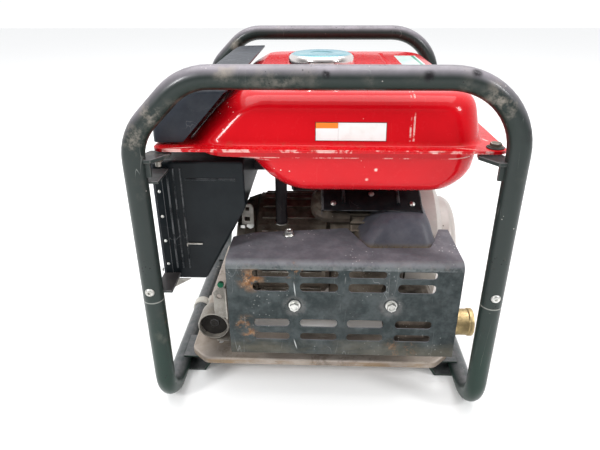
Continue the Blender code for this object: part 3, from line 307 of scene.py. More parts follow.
def tank_red():
    """Glossy red enamel with chipped flange edges, stone chips, faint scratches, dust in the corners, and
    painted shade on what faces down.
    """
    finish = Finish("tank_red", 0.34, 0.0, 0.35, 0.05, 0.08)
    cloud = finish.noise(6.0, 4.0, 0.6)
    colour = finish.blend(cloud.rise(0.3, 0.7), (0.520, 0.002, 0.007), (0.600, 0.004, 0.010))
    up = finish.facing("Z")
    faded = up.rise(0.5, 1.0) * finish.noise(22.0, 4.0).rise(0.3, 0.7)
    colour = finish.blend(faded * 0.20, colour, (0.46, 0.020, 0.018))
    ragged = finish.noise(300.0, 2.0) * 0.08
    chips = (finish.cells(120.0) + ragged).rise(0.15, 0.12) * finish.noise(19.0, 2.0).rise(0.61, 0.65)
    for centre, reach in (((0.0620, -0.210, 0.3370), 0.0028), ((0.0520, -0.210, 0.3240), 0.0032)):
        chips = chips | (finish.spot(centre, reach) * finish.noise(240.0, 3.0).rise(0.45, 0.52))
    colour = finish.blend(chips, colour, (0.80, 0.66, 0.60))
    lines = finish.scratches(24.0, (1.0, 1.0, 0.22), (0.0, 0.5, 0.2), 0.002)
    colour = finish.blend(lines * 0.35, colour, (0.80, 0.25, 0.22))
    worn = finish.edges() * finish.noise(46.0, 4.0, 0.7).rise(0.48, 0.58)
    colour = finish.blend(worn * 0.8, colour, (0.80, 0.50, 0.46))
    grime = finish.z.within(0.3640, 0.3700, 0.003) * finish.noise(60.0, 5.0, 0.7).rise(0.48, 0.72)
    colour = finish.blend(grime * 0.45, colour, (0.22, 0.07, 0.035))
    # Painted shade: what faces down is darkened to a deep red.
    below = up.rise(-0.25, -0.95)
    colour = finish.blend(below * 0.6, colour, (0.20, 0.006, 0.010))
    film = finish.noise(120.0, 5.0, 0.7).rise(0.5, 0.8)
    roughness = 0.24 + film * 0.14 + chips * 0.3 + grime * 0.3
    dents = finish.noise(9.0, 1.0) + finish.noise(420.0, 1.0) * 0.010 - chips * 0.12
    coat = 0.35 - film * 0.10 - grime * 0.2 - chips * 0.2
    return finish.finished(colour, roughness, None, finish.bump(dents, 0.0007, 0.30), coat)


def cover_enamel():
    """Charcoal enamel on the muffler cover, with a blue-grey painted top light on what faces up, and dust,
    rust, scuffs and specks.
    """
    finish = Finish("cover_enamel", metallic=0.10, specular=0.18)
    up = finish.facing("Z").rise(0.25, 0.85)
    mottle = finish.noise(55.0, 6.0, 0.65)
    # Painted light: the front keeps a dark charcoal, and what faces up takes a much lighter blue-grey as a
    # painted top light.
    front = finish.blend(mottle.rise(0.35, 0.7), (0.020, 0.028, 0.029), (0.058, 0.070, 0.072))
    top = finish.blend(mottle.rise(0.35, 0.7), (0.150, 0.152, 0.176), (0.225, 0.225, 0.250))
    colour = finish.blend(up, front, top)
    haze = finish.noise(11.0, 5.0, 0.7).rise(0.46, 0.72)
    colour = finish.blend(haze * 0.30, colour, (0.105, 0.110, 0.112))
    streaky = finish.noise(30.0, 5.0, 0.7, finish.stretched((0.35, 1.0, 1.0)))
    low_dust = finish.z.rise(0.135, 0.086) * streaky
    colour = finish.blend(low_dust.rise(0.28, 0.62) * 0.38, colour, (0.17, 0.145, 0.10))
    bend = finish.z.within(0.2105, 0.2195, 0.004) * finish.noise(75.0, 5.0, 0.7).rise(0.50, 0.72)
    colour = finish.blend(bend * 0.5, colour, (0.20, 0.155, 0.14))
    rings = finish.spots((((x, COVER_FRONT, z - 0.002), 0.0190) for x, z in COVER_BOLTS), 0.55)
    rubbed = finish.noise(130.0, 4.0, 0.7).rise(0.3, 0.6) * 0.45
    colour = finish.blend(rings * rubbed, colour, (0.19, 0.185, 0.18))
    patchy = finish.noise(60.0, 6.0, 0.8, None, 0.4)
    rust = finish.spot((-0.0875, COVER_FRONT, 0.196), 0.022) * patchy.rise(0.40, 0.54)
    for x, z, reach, sparse, dense, strength in (
        (-0.098, 0.128, 0.020, 0.48, 0.60, 0.6),
        (-0.092, 0.112, 0.015, 0.44, 0.58, 0.8),
        (-0.030, 0.212, 0.022, 0.50, 0.60, 0.7),
        (0.106, 0.089, 0.030, 0.52, 0.62, 0.5),
    ):
        rust = rust | (finish.spot((x, COVER_FRONT, z), reach) * patchy.rise(sparse, dense) * strength)
    rust = rust | (patchy.rise(0.66, 0.72) * 0.35)
    powder = finish.noise(190.0, 3.0).rise(0.35, 0.65)
    tone = finish.blend(powder, (0.20, 0.085, 0.030), (0.33, 0.19, 0.10))
    colour = finish.blend(rust, colour, tone)
    edge = finish.edges() * finish.noise(90.0, 4.0, 0.7).rise(0.34, 0.56)
    colour = finish.blend(edge * 0.48, colour, (0.22, 0.235, 0.24))
    specks = finish.cells(150.0).rise(0.17, 0.10) * finish.noise(20.0, 2.0).rise(0.54, 0.60)
    colour = finish.blend(specks * (up * 0.7 + 0.18), colour, (0.62, 0.62, 0.60))
    lines = finish.scratches(26.0, (1.0, 1.0, 0.2), (0.0, 0.9, 0.0), 0.003)
    lines = lines | (finish.scratches(34.0, (1.0, 1.0, 0.16), (0.0, -0.4, 0.0), 0.003))
    colour = finish.blend(lines * 0.4, colour, (0.34, 0.35, 0.35))
    upper = (finish.x + finish.z * 0.10).within(-0.0150, -0.0138)
    lower = (finish.x + finish.z * 0.25).within(-0.0085, -0.0072)
    streak = finish.spot((-0.0325, COVER_FRONT, 0.1835), 0.0125) * upper
    streak = streak | (finish.spot((-0.0325, COVER_FRONT, 0.0980), 0.0100) * lower)
    colour = finish.blend(streak * 0.8, colour, (0.55, 0.57, 0.57))
    roughness = 0.44 + haze * 0.12 + rust * 0.35 + mottle * 0.10 - edge * 0.1
    grain = finish.noise(480.0, 2.0) * 0.35 + rust * finish.noise(300.0, 3.0) - specks * 0.4 - lines * 0.5
    return finish.finished(colour, roughness, None, finish.bump(grain, 0.0003, 0.55))


def hood_plastic():
    """The dome of the head shroud: smooth blue-grey, with dirt baked on around its foot."""
    finish = Finish("hood_plastic", specular=0.25)
    mottle = finish.noise(34.0, 5.0, 0.6)
    colour = finish.blend(mottle.rise(0.35, 0.7), (0.062, 0.064, 0.082), (0.100, 0.102, 0.122))
    dust = finish.facing("Z").rise(0.3, 1.0) * finish.noise(80.0, 5.0, 0.7).rise(0.35, 0.8)
    colour = finish.blend(dust * 0.32, colour, (0.19, 0.19, 0.205))
    dirt = finish.z.rise(0.2245, 0.2175) * finish.noise(95.0, 6.0, 0.75).rise(0.26, 0.52)
    colour = finish.blend(dirt * 0.92, colour, (0.135, 0.105, 0.068))
    crumbs = dirt * finish.noise(230.0, 4.0, 0.8).rise(0.52, 0.66)
    colour = finish.blend(crumbs * 0.8, colour, (0.045, 0.028, 0.022))
    lines = finish.scratches(40.0, (1.0, 0.2, 1.0), (0.0, 0.0, 0.8), 0.003)
    colour = finish.blend(lines * 0.35, colour, (0.33, 0.34, 0.36))
    roughness = 0.36 + dirt * 0.45 + dust * 0.2 + mottle * 0.06
    grain = crumbs * 1.2 + dirt * 0.8 + finish.noise(700.0, 2.0) * 0.1
    return finish.finished(colour, roughness, None, finish.bump(grain, 0.0007, 0.6))


def moulded(name, dark, light, roughness, dusty=0.25, dust_colour=(0.30, 0.29, 0.28), grain=900.0):
    """Moulded plastic or rubber: a fine texture, rubbed edges, dust on what faces up, a few scuffs."""
    finish = Finish(name, specular=0.16)
    mottle = finish.noise(26.0, 5.0, 0.65)
    colour = finish.blend(mottle.rise(0.3, 0.7), dark, light)
    dust = finish.facing("Z").rise(0.1, 1.0) * finish.noise(70.0, 6.0, 0.7).rise(0.30, 0.75)
    film = finish.noise(14.0, 5.0, 0.7).rise(0.48, 0.75)
    colour = finish.blend(dust * dusty + film * (dusty * 0.4), colour, dust_colour)
    lines = finish.scratches(36.0, (1.0, 0.25, 1.0), (0.4, 0.0, 0.7), 0.003)
    colour = finish.blend(lines * 0.25, colour, (0.40, 0.41, 0.42))
    rubbed = finish.edges() * finish.noise(60.0, 4.0, 0.7).rise(0.38, 0.6)
    colour = finish.blend(rubbed * 0.30, colour, (0.30, 0.31, 0.32))
    rough = roughness + dust * 0.25 + mottle * 0.08 - rubbed * 0.08
    return finish.finished(colour, rough, None, finish.bump(finish.noise(grain, 2.0), 0.00012, 0.5))


def casting(name, dark, light, oily=0.6):
    """Sand-cast aluminium: coarse skin, brown oily dirt in patches, and clean bright corners."""
    finish = Finish(name, metallic=0.65)
    skin = finish.noise(330.0, 4.0, 0.7)
    cloud = finish.noise(24.0, 6.0, 0.7)
    colour = finish.blend(cloud.rise(0.3, 0.7), dark, light)
    dirt = finish.noise(33.0, 6.0, 0.75, None, 0.3).rise(0.42, 0.64)
    colour = finish.blend(dirt * oily, colour, (0.060, 0.042, 0.026))
    dust = finish.facing("Z").rise(0.2, 1.0) * finish.noise(110.0, 5.0).rise(0.3, 0.7)
    colour = finish.blend(dust * 0.45, colour, (0.30, 0.255, 0.20))
    bright = finish.edges() * finish.noise(70.0, 3.0).rise(0.35, 0.6)
    colour = finish.blend(bright * 0.6, colour, (0.62, 0.59, 0.53))
    salt = finish.cells(240.0).rise(0.20, 0.12) * finish.noise(30.0, 2.0).rise(0.55, 0.62)
    colour = finish.blend(salt * 0.5, colour, (0.60, 0.58, 0.52))
    roughness = 0.50 + dirt * 0.22 + dust * 0.2 - bright * 0.2
    metal = 0.75 - dirt * 0.55 - dust * 0.4
    return finish.finished(colour, roughness, metal, finish.bump(skin + dirt * 0.4, 0.0006, 0.55))


def bright_metal(name, colour, roughness, stain=(0.16, 0.12, 0.08), stained=0.5, brushed=(1.0, 1.0, 1.0)):
    """Plated or bare metal: fine brushing, dull bloom, stains and small dark pits."""
    finish = Finish(name, metallic=1.0)
    bloom = finish.noise(60.0, 5.0, 0.65)
    dull = tuple(channel * 0.62 for channel in colour)
    shade = finish.blend(bloom.rise(0.38, 0.72), colour, dull)
    marks = finish.noise(36.0, 6.0, 0.75).rise(0.54, 0.70)
    shade = finish.blend(marks * stained, shade, stain)
    pits = finish.cells(300.0).rise(0.20, 0.12) * finish.noise(42.0, 2.0).rise(0.54, 0.62)
    shade = finish.blend(pits * 0.7, shade, (0.07, 0.055, 0.045))
    brush = finish.noise(420.0, 3.0, 0.6, finish.stretched(brushed))
    rough = roughness + bloom * 0.14 + marks * 0.25 + brush * 0.08
    metal = 1.0 - marks * (stained * 0.7)
    return finish.finished(shade, rough, metal, finish.bump(brush - pits * 0.8, 0.00015, 0.45))


def pan_paint():
    """Pinkish beige-grey pan: scraped, water-marked, and brown at its edges and corners."""
    finish = Finish("pan_paint", metallic=0.30)
    cloud = finish.noise(15.0, 6.0, 0.7)
    colour = finish.blend(cloud.rise(0.3, 0.7), (0.34, 0.285, 0.235), (0.48, 0.42, 0.375))
    rim = finish.z.rise(0.0375, 0.0330)
    stain = finish.noise(26.0, 5.0, 0.7, finish.stretched((0.4, 0.4, 1.0))).rise(0.40, 0.62)
    colour = finish.blend(rim * stain * 0.8, colour, (0.26, 0.165, 0.075))
    colour = finish.blend(rim * finish.noise(12.0, 2.0).rise(0.5, 0.6) * 0.35, colour, (0.14, 0.105, 0.08))
    pools = finish.noise(20.0, 6.0, 0.8, None, 0.8).rise(0.52, 0.66)
    colour = finish.blend(pools * 0.45, colour, (0.115, 0.090, 0.070))
    lines = finish.scratches(18.0, (1.0, 0.2, 1.0), (0.0, 0.0, 1.2), 0.005)
    colour = finish.blend(lines * 0.6, colour, (0.60, 0.58, 0.55))
    roughness = 0.44 + pools * 0.2 + cloud * 0.1
    grain = finish.noise(300.0, 3.0) * 0.3 + pools * 0.3 - lines * 0.5
    return finish.finished(colour, roughness, None, finish.bump(grain, 0.0004, 0.5))


def drum_paint():
    """Warm light grey on the fan cover and the recoil housing, with grime streaks and chips."""
    finish = Finish("drum_paint", metallic=0.10, coat=0.25, coat_roughness=0.2)
    cloud = finish.noise(12.0, 5.0, 0.65)
    colour = finish.blend(cloud.rise(0.3, 0.7), (0.46, 0.425, 0.395), (0.55, 0.515, 0.485))
    grime = finish.noise(30.0, 6.0, 0.75, finish.stretched((1.0, 1.0, 0.35))).rise(0.52, 0.72)
    colour = finish.blend(grime * 0.35, colour, (0.28, 0.235, 0.18))
    worn = finish.edges() * finish.noise(60.0, 4.0).rise(0.42, 0.6)
    colour = finish.blend(worn * 0.5, colour, (0.74, 0.73, 0.71))
    chips = finish.cells(110.0).rise(0.14, 0.09) * finish.noise(18.0, 2.0).rise(0.56, 0.62)
    colour = finish.blend(chips, colour, (0.12, 0.10, 0.09))
    roughness = 0.34 + grime * 0.25 + cloud * 0.08
    grain = finish.noise(500.0, 2.0) * 0.2 - chips
    return finish.finished(colour, roughness, None, finish.bump(grain, 0.0003, 0.4))


def cap_plating(centre, radius):
    """Chrome on the fuel cap: a cool spun top and a rim gone slightly warm."""
    finish = Finish("cap_plating", metallic=1.0)
    reach = finish.distance(centre)
    top = finish.facing("Z").rise(0.75, 0.98)
    cool = finish.blend(finish.noise(20.0, 3.0).rise(0.35, 0.7), (0.14, 0.46, 0.58), (0.36, 0.66, 0.72))
    colour = finish.blend(top * reach.rise(radius * 0.99, radius * 0.86), (0.80, 0.75, 0.73), cool)
    spun = finish.maths("SINE", reach * 9000.0) * 0.5 + 0.5
    marks = finish.noise(50.0, 6.0, 0.7).rise(0.52, 0.70)
    colour = finish.blend(marks * 0.30, colour, (0.33, 0.29, 0.26))
    roughness = 0.13 + spun * 0.05 + marks * 0.2 + top * 0.08
    return finish.finished(colour, roughness, None, finish.bump(spun, 0.00002, 0.5))


def label_print(x_range, z_range):
    """A plain white plate with a dark border, an orange corner block and a thin divider, all blank."""
    finish = Finish("label_print", 0.35, 0.0, 0.4, 0.15)
    (left, right), (low, high) = x_range, z_range
    paper = finish.blend(finish.noise(90.0, 5.0).rise(0.4, 0.8) * 0.5, (0.80, 0.80, 0.79), (0.66, 0.64, 0.60))
    divide = left + (right - left) * 0.32
    block = finish.x.rise(divide + 0.0002, divide - 0.0002) * finish.z.rise(high - 0.0070, high - 0.0066)
    colour = finish.blend(block, paper, (0.80, 0.21, 0.012))
    line = finish.x.within(divide, divide + 0.0003, 0.0001)
    colour = finish.blend(line * 0.6, colour, (0.12, 0.12, 0.12))
    edge = 0.0006
    across = finish.x.within(left + edge, right - edge, 0.0001)
    inside = across * finish.z.within(low + edge, high - edge, 0.0001)
    colour = finish.blend(1.0 - inside, colour, (0.035, 0.012, 0.012))
    return finish.finished(colour, 0.30 + finish.noise(60.0, 4.0) * 0.2)


def plate_print(x_range, y_range):
    """The pale blank plate on top of the tank, its green ground showing along one side."""
    finish = Finish("plate_print", 0.30, 0.0, 0.5, 0.1)
    (left, right), (front, back) = x_range, y_range
    worn = finish.noise(45.0, 5.0, 0.7)
    colour = finish.blend(worn.rise(0.35, 0.7), (0.50, 0.68, 0.62), (0.66, 0.75, 0.72))
    band = finish.x.within(left + (right - left) * 0.78, right - 0.003, 0.0003)
    colour = finish.blend(band, colour, (0.02, 0.26, 0.16))
    edge = 0.0012
    inside = finish.x.within(left + edge, right - edge) * finish.y.within(front + edge, back - edge)
    colour = finish.blend(1.0 - inside, colour, (0.62, 0.66, 0.64))
    return finish.finished(colour, 0.25 + worn * 0.2)


def braided_rope():
    """Starter rope: twisted pale strands with a dark tracer."""
    finish = Finish("braided_rope", 0.8)
    twist = finish.maths("SINE", finish.y * 2600.0 + finish.x * 3200.0) * 0.5 + 0.5
    colour = finish.blend(twist, (0.24, 0.22, 0.19), (0.52, 0.49, 0.43))
    tracer = finish.maths("SINE", finish.y * 1300.0 - finish.z * 2400.0).rise(0.75, 0.9)
    colour = finish.blend(tracer, colour, (0.10, 0.11, 0.14))
    return finish.finished(colour, 0.75 + twist * 0.1, None, finish.bump(twist, 0.0004, 0.8))


def filter_foam():
    """Open-cell foam, dark with dust and oil."""
    finish = Finish("filter_foam", 0.95)
    cell = finish.cells(520.0)
    colour = finish.blend(cell.rise(0.2, 0.6), (0.012, 0.012, 0.013), (0.085, 0.080, 0.070))
    return finish.finished(colour, 0.9 + cell * 0.1, None, finish.bump(cell, 0.0012, 1.0))


def copper_winding():
    """Varnished copper windings in slots around the rotor."""
    finish = Finish("copper_winding", 0.4, 0.8)
    wire = finish.maths("SINE", finish.x * 5200.0) * 0.5 + 0.5
    colour = finish.blend(wire, (0.14, 0.045, 0.018), (0.50, 0.20, 0.085))
    colour = finish.blend(finish.noise(40.0, 4.0).rise(0.5, 0.7) * 0.5, colour, (0.06, 0.035, 0.022))
    return finish.finished(colour, 0.32 + wire * 0.2, None, finish.bump(wire, 0.0005, 0.8))


def meter_dial(centre, radius):
    """The voltmeter's face: a white dial with a scale of plain ticks, a green arc and a dark rim."""
    finish = Finish("meter_dial", 0.25, 0.0, 1.0, 0.03)
    across = finish.y - centre[1]
    up = finish.z - centre[2] + radius * 0.35
    reach = finish.maths("SQRT", across * across + up * up)
    turn = finish.maths("ARCTAN2", across, up)
    spread = abs(turn).rise(0.82, 0.80)
    arc = reach.within(radius * 0.86, radius * 0.90, 0.0001) * spread
    tick = abs(finish.maths("SINE", turn * 12.0)).rise(0.12, 0.06)
    ticks = reach.within(radius * 0.88, radius * 1.02, 0.0001) * tick * spread
    face = finish.blend(finish.noise(30.0, 3.0).rise(0.3, 0.8), (0.78, 0.77, 0.73), (0.70, 0.69, 0.64))
    good = reach.within(radius * 0.74, radius * 0.82, 0.0001) * turn.within(-0.42, -0.10, 0.005)
    colour = finish.blend(good, face, (0.03, 0.30, 0.09))
    colour = finish.blend(arc | ticks, colour, (0.02, 0.02, 0.02))
    return finish.finished(colour, 0.22 + finish.noise(70.0, 3.0) * 0.12)


FRAME_ENAMEL = frame_enamel()
TANK_RED = tank_red()
COVER_ENAMEL = cover_enamel()
HOOD_PLASTIC = hood_plastic()
PAN_PAINT = pan_paint()
DRUM_PAINT = drum_paint()
BOX_BLACK = moulded("box_black", (0.003, 0.005, 0.007), (0.007, 0.010, 0.012), 0.30, 0.05)
SIDE_COVER_GREY = moulded("side_cover_grey", (0.026, 0.031, 0.041), (0.042, 0.049, 0.062), 0.34, 0.16)
SWITCH_BLACK = moulded("switch_black", (0.012, 0.012, 0.013), (0.026, 0.026, 0.028), 0.42, 0.3)
RUBBER = moulded("rubber", (0.014, 0.013, 0.012), (0.034, 0.031, 0.028), 0.72, 0.35)
HOSE_RUBBER = moulded("hose_rubber", (0.020, 0.017, 0.019), (0.042, 0.036, 0.040), 0.5, 0.3)
CLIP_GREY = moulded("clip_grey", (0.42, 0.40, 0.36), (0.60, 0.58, 0.53), 0.5, 0.4, (0.34, 0.29, 0.22))
BUTTON_RED = moulded("button_red", (0.42, 0.02, 0.015), (0.55, 0.035, 0.025), 0.35, 0.2)
TERMINAL_GREEN = moulded("terminal_green", (0.010, 0.16, 0.075), (0.03, 0.26, 0.13), 0.42, 0.2)
CASE_GREY = moulded("case_grey", (0.030, 0.032, 0.034), (0.050, 0.052, 0.055), 0.5, 0.35)
# This casting finish is much darker than the clean casting: partly oily dirt, partly painted shade on the
# castings that lie inside the frame and behind the slotted cover.
DIRTY_SHADED_ALUMINIUM = casting("cast_aluminium_dirt_and_shade", (0.085, 0.066, 0.050), (0.190, 0.162, 0.130))
CLEAN_CASTING = casting("clean_casting", (0.30, 0.28, 0.25), (0.46, 0.44, 0.40), 0.35)
IRON = casting("dark_iron", (0.045, 0.036, 0.030), (0.105, 0.082, 0.064), 0.5)
ZINC = bright_metal("zinc_plate", (0.66, 0.66, 0.63), 0.26, (0.30, 0.26, 0.20), 0.35)
STEEL = bright_metal("machined_steel", (0.52, 0.51, 0.50), 0.24, (0.18, 0.14, 0.11), 0.4, (0.05, 1.0, 1.0))
BRASS = bright_metal("tail_brass", (0.62, 0.47, 0.24), 0.30, (0.22, 0.14, 0.06), 0.65)
ROPE = braided_rope()
FOAM = filter_foam()
COPPER = copper_winding()
PORCELAIN = moulded("porcelain", (0.66, 0.64, 0.60), (0.78, 0.76, 0.72), 0.15, 0.15)


# ---------------------------------------------------------------- shapes


def verts_among(items):
    return [item for item in items if isinstance(item, bmesh.types.BMVert)]


class Shape:
    """A mesh under construction, in metres and in its place on the generator."""

    def __init__(self):
        self.bm = bmesh.new()

    def everything(self):
        return self.bm.verts[:] + self.bm.edges[:] + self.bm.faces[:]

    def bevel(self, edges, width, steps=3):
        bmesh.ops.bevel(
            self.bm, geom=edges, offset=width, offset_type="OFFSET", segments=steps, profile=0.5,
            affect="EDGES", material=-1, clamp_overlap=True,
        )

    def block(self, low, high, rounding=0.0, steps=3, turn=None, about=None):
        """A block between two corners, turned about its own centre or another point."""
        low, high = Vector(low), Vector(high)
        made = bmesh.ops.create_cube(self.bm, size=1.0)["verts"]
        centre = (low + high) / 2.0
        bmesh.ops.scale(self.bm, vec=high - low, verts=made)
        bmesh.ops.translate(self.bm, vec=centre, verts=made)
        if turn:
            pivot = Matrix.Translation(Vector(about or centre))
            bmesh.ops.transform(self.bm, matrix=pivot @ turn.to_4x4() @ pivot.inverted(), verts=made)
        if rounding:
            self.bevel(list({edge for vert in made for edge in vert.link_edges}), rounding, steps)
        return self

    def rod(self, start, end, radius, rounding=0.0, end_radius=None, sides=32, steps=2):
        """A round, or few-sided, bar between two points, with rounded rims."""
        start, end = Vector(start), Vector(end)
        made = bmesh.ops.create_cone(
            self.bm, cap_ends=True, segments=sides, radius1=radius,
            radius2=radius if end_radius is None else end_radius, depth=(end - start).length,
        )["verts"]
        turn = (end - start).to_track_quat("Z", "Y").to_matrix().to_4x4()
        bmesh.ops.transform(self.bm, matrix=Matrix.Translation((start + end) / 2.0) @ turn, verts=made)
        if rounding:
            edges = {edge for vert in made for edge in vert.link_edges}
            rims = [e for e in edges if any(len(face.verts) == sides for face in e.link_faces)]
            self.bevel(rims, rounding, steps)
        return self

    def turned(self, profile, origin, direction, steps=48, closed=False):
        """Spin (radius, distance) pairs about a line through a point."""
        origin, direction = Vector(origin), Vector(direction).normalized()
        across = direction.orthogonal().normalized()
        verts = [self.bm.verts.new(origin + across * r + direction * along) for r, along in profile]
        edges = [self.bm.edges.new(pair) for pair in zip(verts, verts[1:])]
        if closed:
            edges.append(self.bm.edges.new((verts[-1], verts[0])))
        bmesh.ops.spin(
            self.bm, geom=verts + edges, cent=origin, axis=direction, angle=math.tau, steps=steps,
            use_merge=True,
        )
        return self

    def tube(self, route, radius, sides=24, ends=True):
        """Carry a ring along a route, and close its ends."""
        route = [Vector(point) for point in route]
        ways = [(after - before).normalized() for before, after in zip(route, route[1:])]
        headings = [ways[0]] + [(a + b).normalized() for a, b in zip(ways, ways[1:])] + [ways[-1]]
        ring = bmesh.ops.create_circle(self.bm, segments=sides, radius=radius)["verts"]
        turn = Z.rotation_difference(headings[0]).to_matrix().to_4x4()
        bmesh.ops.transform(self.bm, matrix=Matrix.Translation(route[0]) @ turn, verts=ring)
        edges = list({edge for vert in ring for edge in vert.link_edges})
        first = edges
        for index in range(1, len(route)):
            grown = bmesh.ops.extrude_edge_only(self.bm, edges=edges)["geom"]
            ring = verts_among(grown)
            held = set(ring)
            edges = [e for e in grown if isinstance(e, bmesh.types.BMEdge) and held.issuperset(e.verts)]
            turn = headings[index - 1].rotation_difference(headings[index]).to_matrix().to_4x4()
            matrix = Matrix.Translation(route[index]) @ turn @ Matrix.Translation(-route[index - 1])
            bmesh.ops.transform(self.bm, matrix=matrix, verts=ring)
        if ends:
            bmesh.ops.edgeloop_fill(self.bm, edges=first)
            bmesh.ops.edgeloop_fill(self.bm, edges=edges)
        return self

    def outline(self, points, plane, height, corner=0.0, steps=4):
        """A flat face through points in the plane XY, XZ or YZ, with its corners rounded."""
        order = {"XY": (0, 1, 2), "XZ": (0, 2, 1), "YZ": (1, 2, 0)}[plane]
        verts = []
        for first, second in points:
            place = Vector((0.0, 0.0, 0.0))
            place[order[0]], place[order[1]], place[order[2]] = first, second, height
            verts.append(self.bm.verts.new(place))
        self.bm.faces.new(verts)
        if corner:
            bmesh.ops.bevel(
                self.bm, geom=verts, offset=corner, offset_type="OFFSET", segments=steps, profile=0.5,
                affect="VERTICES", material=-1,
            )

    def plate(self, points, plane, low, high, corner=0.0, rounding=0.0, steps=4):
        """An outline drawn out into a plate from low to high."""
        before = set(self.bm.faces)
        self.outline(points, plane, low, corner, steps)
        face = next(f for f in self.bm.faces if f not in before)
        grown = bmesh.ops.extrude_face_region(self.bm, geom=[face])["geom"]
        shift = {"XY": Z, "XZ": Y, "YZ": X}[plane] * (high - low)
        bmesh.ops.translate(self.bm, vec=shift, verts=verts_among(grown))
        if rounding:
            fresh = [f for f in self.bm.faces if f not in before]
            bmesh.ops.recalc_face_normals(self.bm, faces=fresh)
            rims = {e for f in fresh if len(f.verts) != 4 or not corner for e in f.edges}
            self.bevel(list(rims), rounding, 2)
        return self

    def strip(self, route, shift):
        """Draw a folded line sideways into a strip of sheet."""
        verts = [self.bm.verts.new(point) for point in route]
        edges = [self.bm.edges.new(pair) for pair in zip(verts, verts[1:])]
        grown = bmesh.ops.extrude_edge_only(self.bm, edges=edges)["geom"]
        bmesh.ops.translate(self.bm, vec=shift, verts=verts_among(grown))
        return self

    def towards(self, way):
        """Turn every face over if the largest doesn't face a given way."""
        way = Vector(way)
        self.bm.normal_update()
        largest = max(self.bm.faces, key=lambda f: f.calc_area() * max(abs(f.normal.dot(way)), 0.01))
        if largest.normal.dot(way) < 0.0:
            bmesh.ops.reverse_faces(self.bm, faces=self.bm.faces[:])
        return self

    def outwards(self, way):
        """Point every face outwards, judged by the face that lies furthest along a direction."""
        bmesh.ops.recalc_face_normals(self.bm, faces=self.bm.faces[:])
        self.bm.normal_update()
        furthest = max(self.bm.faces, key=lambda f: f.calc_center_median().dot(way))
        if furthest.normal.dot(way) < 0.0:
            bmesh.ops.reverse_faces(self.bm, faces=self.bm.faces[:])
        return self

    def skin(self, sections, steps=8):
        """Bridge rounded rectangles (x range, y range, corner, z) into one skin, closed at the last."""
        loops = []
        for x_range, y_range, corner, height in sections:
            before = set(self.bm.edges)
            points = [(x_range[0], y_range[0]), (x_range[1], y_range[0]), (x_range[1], y_range[1])]
            points.append((x_range[0], y_range[1]))
            self.outline(points, "XY", height, corner, steps)
            loops.append([edge for edge in self.bm.edges if edge not in before])
        open_faces = [loop[0].link_faces[0] for loop in loops[:-1]]
        bmesh.ops.delete(self.bm, geom=open_faces, context="FACES_ONLY")
        for lower, upper in zip(loops, loops[1:]):
            bmesh.ops.bridge_loops(self.bm, edges=lower + upper)
        return self


def rounded_route(corners, radius, step=math.radians(6.0)):
    """The route through the corners with each inner corner rounded; radius is one value or one a corner."""
    corners = [Vector(c) for c in corners]
    radii = radius if isinstance(radius, (list, tuple)) else [radius] * (len(corners) - 2)
    route = [corners[0]]
    for before, corner, after, r in zip(corners, corners[1:], corners[2:], radii):
        back = (before - corner).normalized()
        ahead = (after - corner).normalized()
        half_turn = (math.pi - back.angle(ahead)) / 2.0
        centre = corner + (back + ahead).normalized() * r / math.cos(half_turn)
        first = corner + back * r * math.tan(half_turn) - centre
        axis = first.cross(corner + ahead * r * math.tan(half_turn) - centre).normalized()
        count = max(3, round(2.0 * half_turn / step))
        for i in range(count + 1):
            route.append(centre + Matrix.Rotation(2.0 * half_turn * i / count, 3, axis) @ first)
    route.append(corners[-1])
    return route


def settled(piece):
    """Keep what a piece's modifiers make as its own mesh."""
    depsgraph = bpy.context.evaluated_depsgraph_get()
    mesh = bpy.data.meshes.new_from_object(piece.evaluated_get(depsgraph))
    piece.modifiers.clear()
    old = piece.data
    piece.data = mesh
    bpy.data.meshes.remove(old)


def mark_edges(mesh, width):
    """Mark the narrow faces, such as rounded edges and cut rims, so that a finish can wear there."""
    narrow = []
    for face in mesh.polygons:
        points = [mesh.vertices[i].co for i in face.vertices]
        longest = max((a - b).length for a, b in zip(points, points[1:] + points[:1]))
        narrow.append(1.0 if face.area < width * longest and longest > width * 1.5 else 0.0)
    mesh.attributes.new("edge", "FLOAT", "FACE").data.foreach_set("value", narrow)


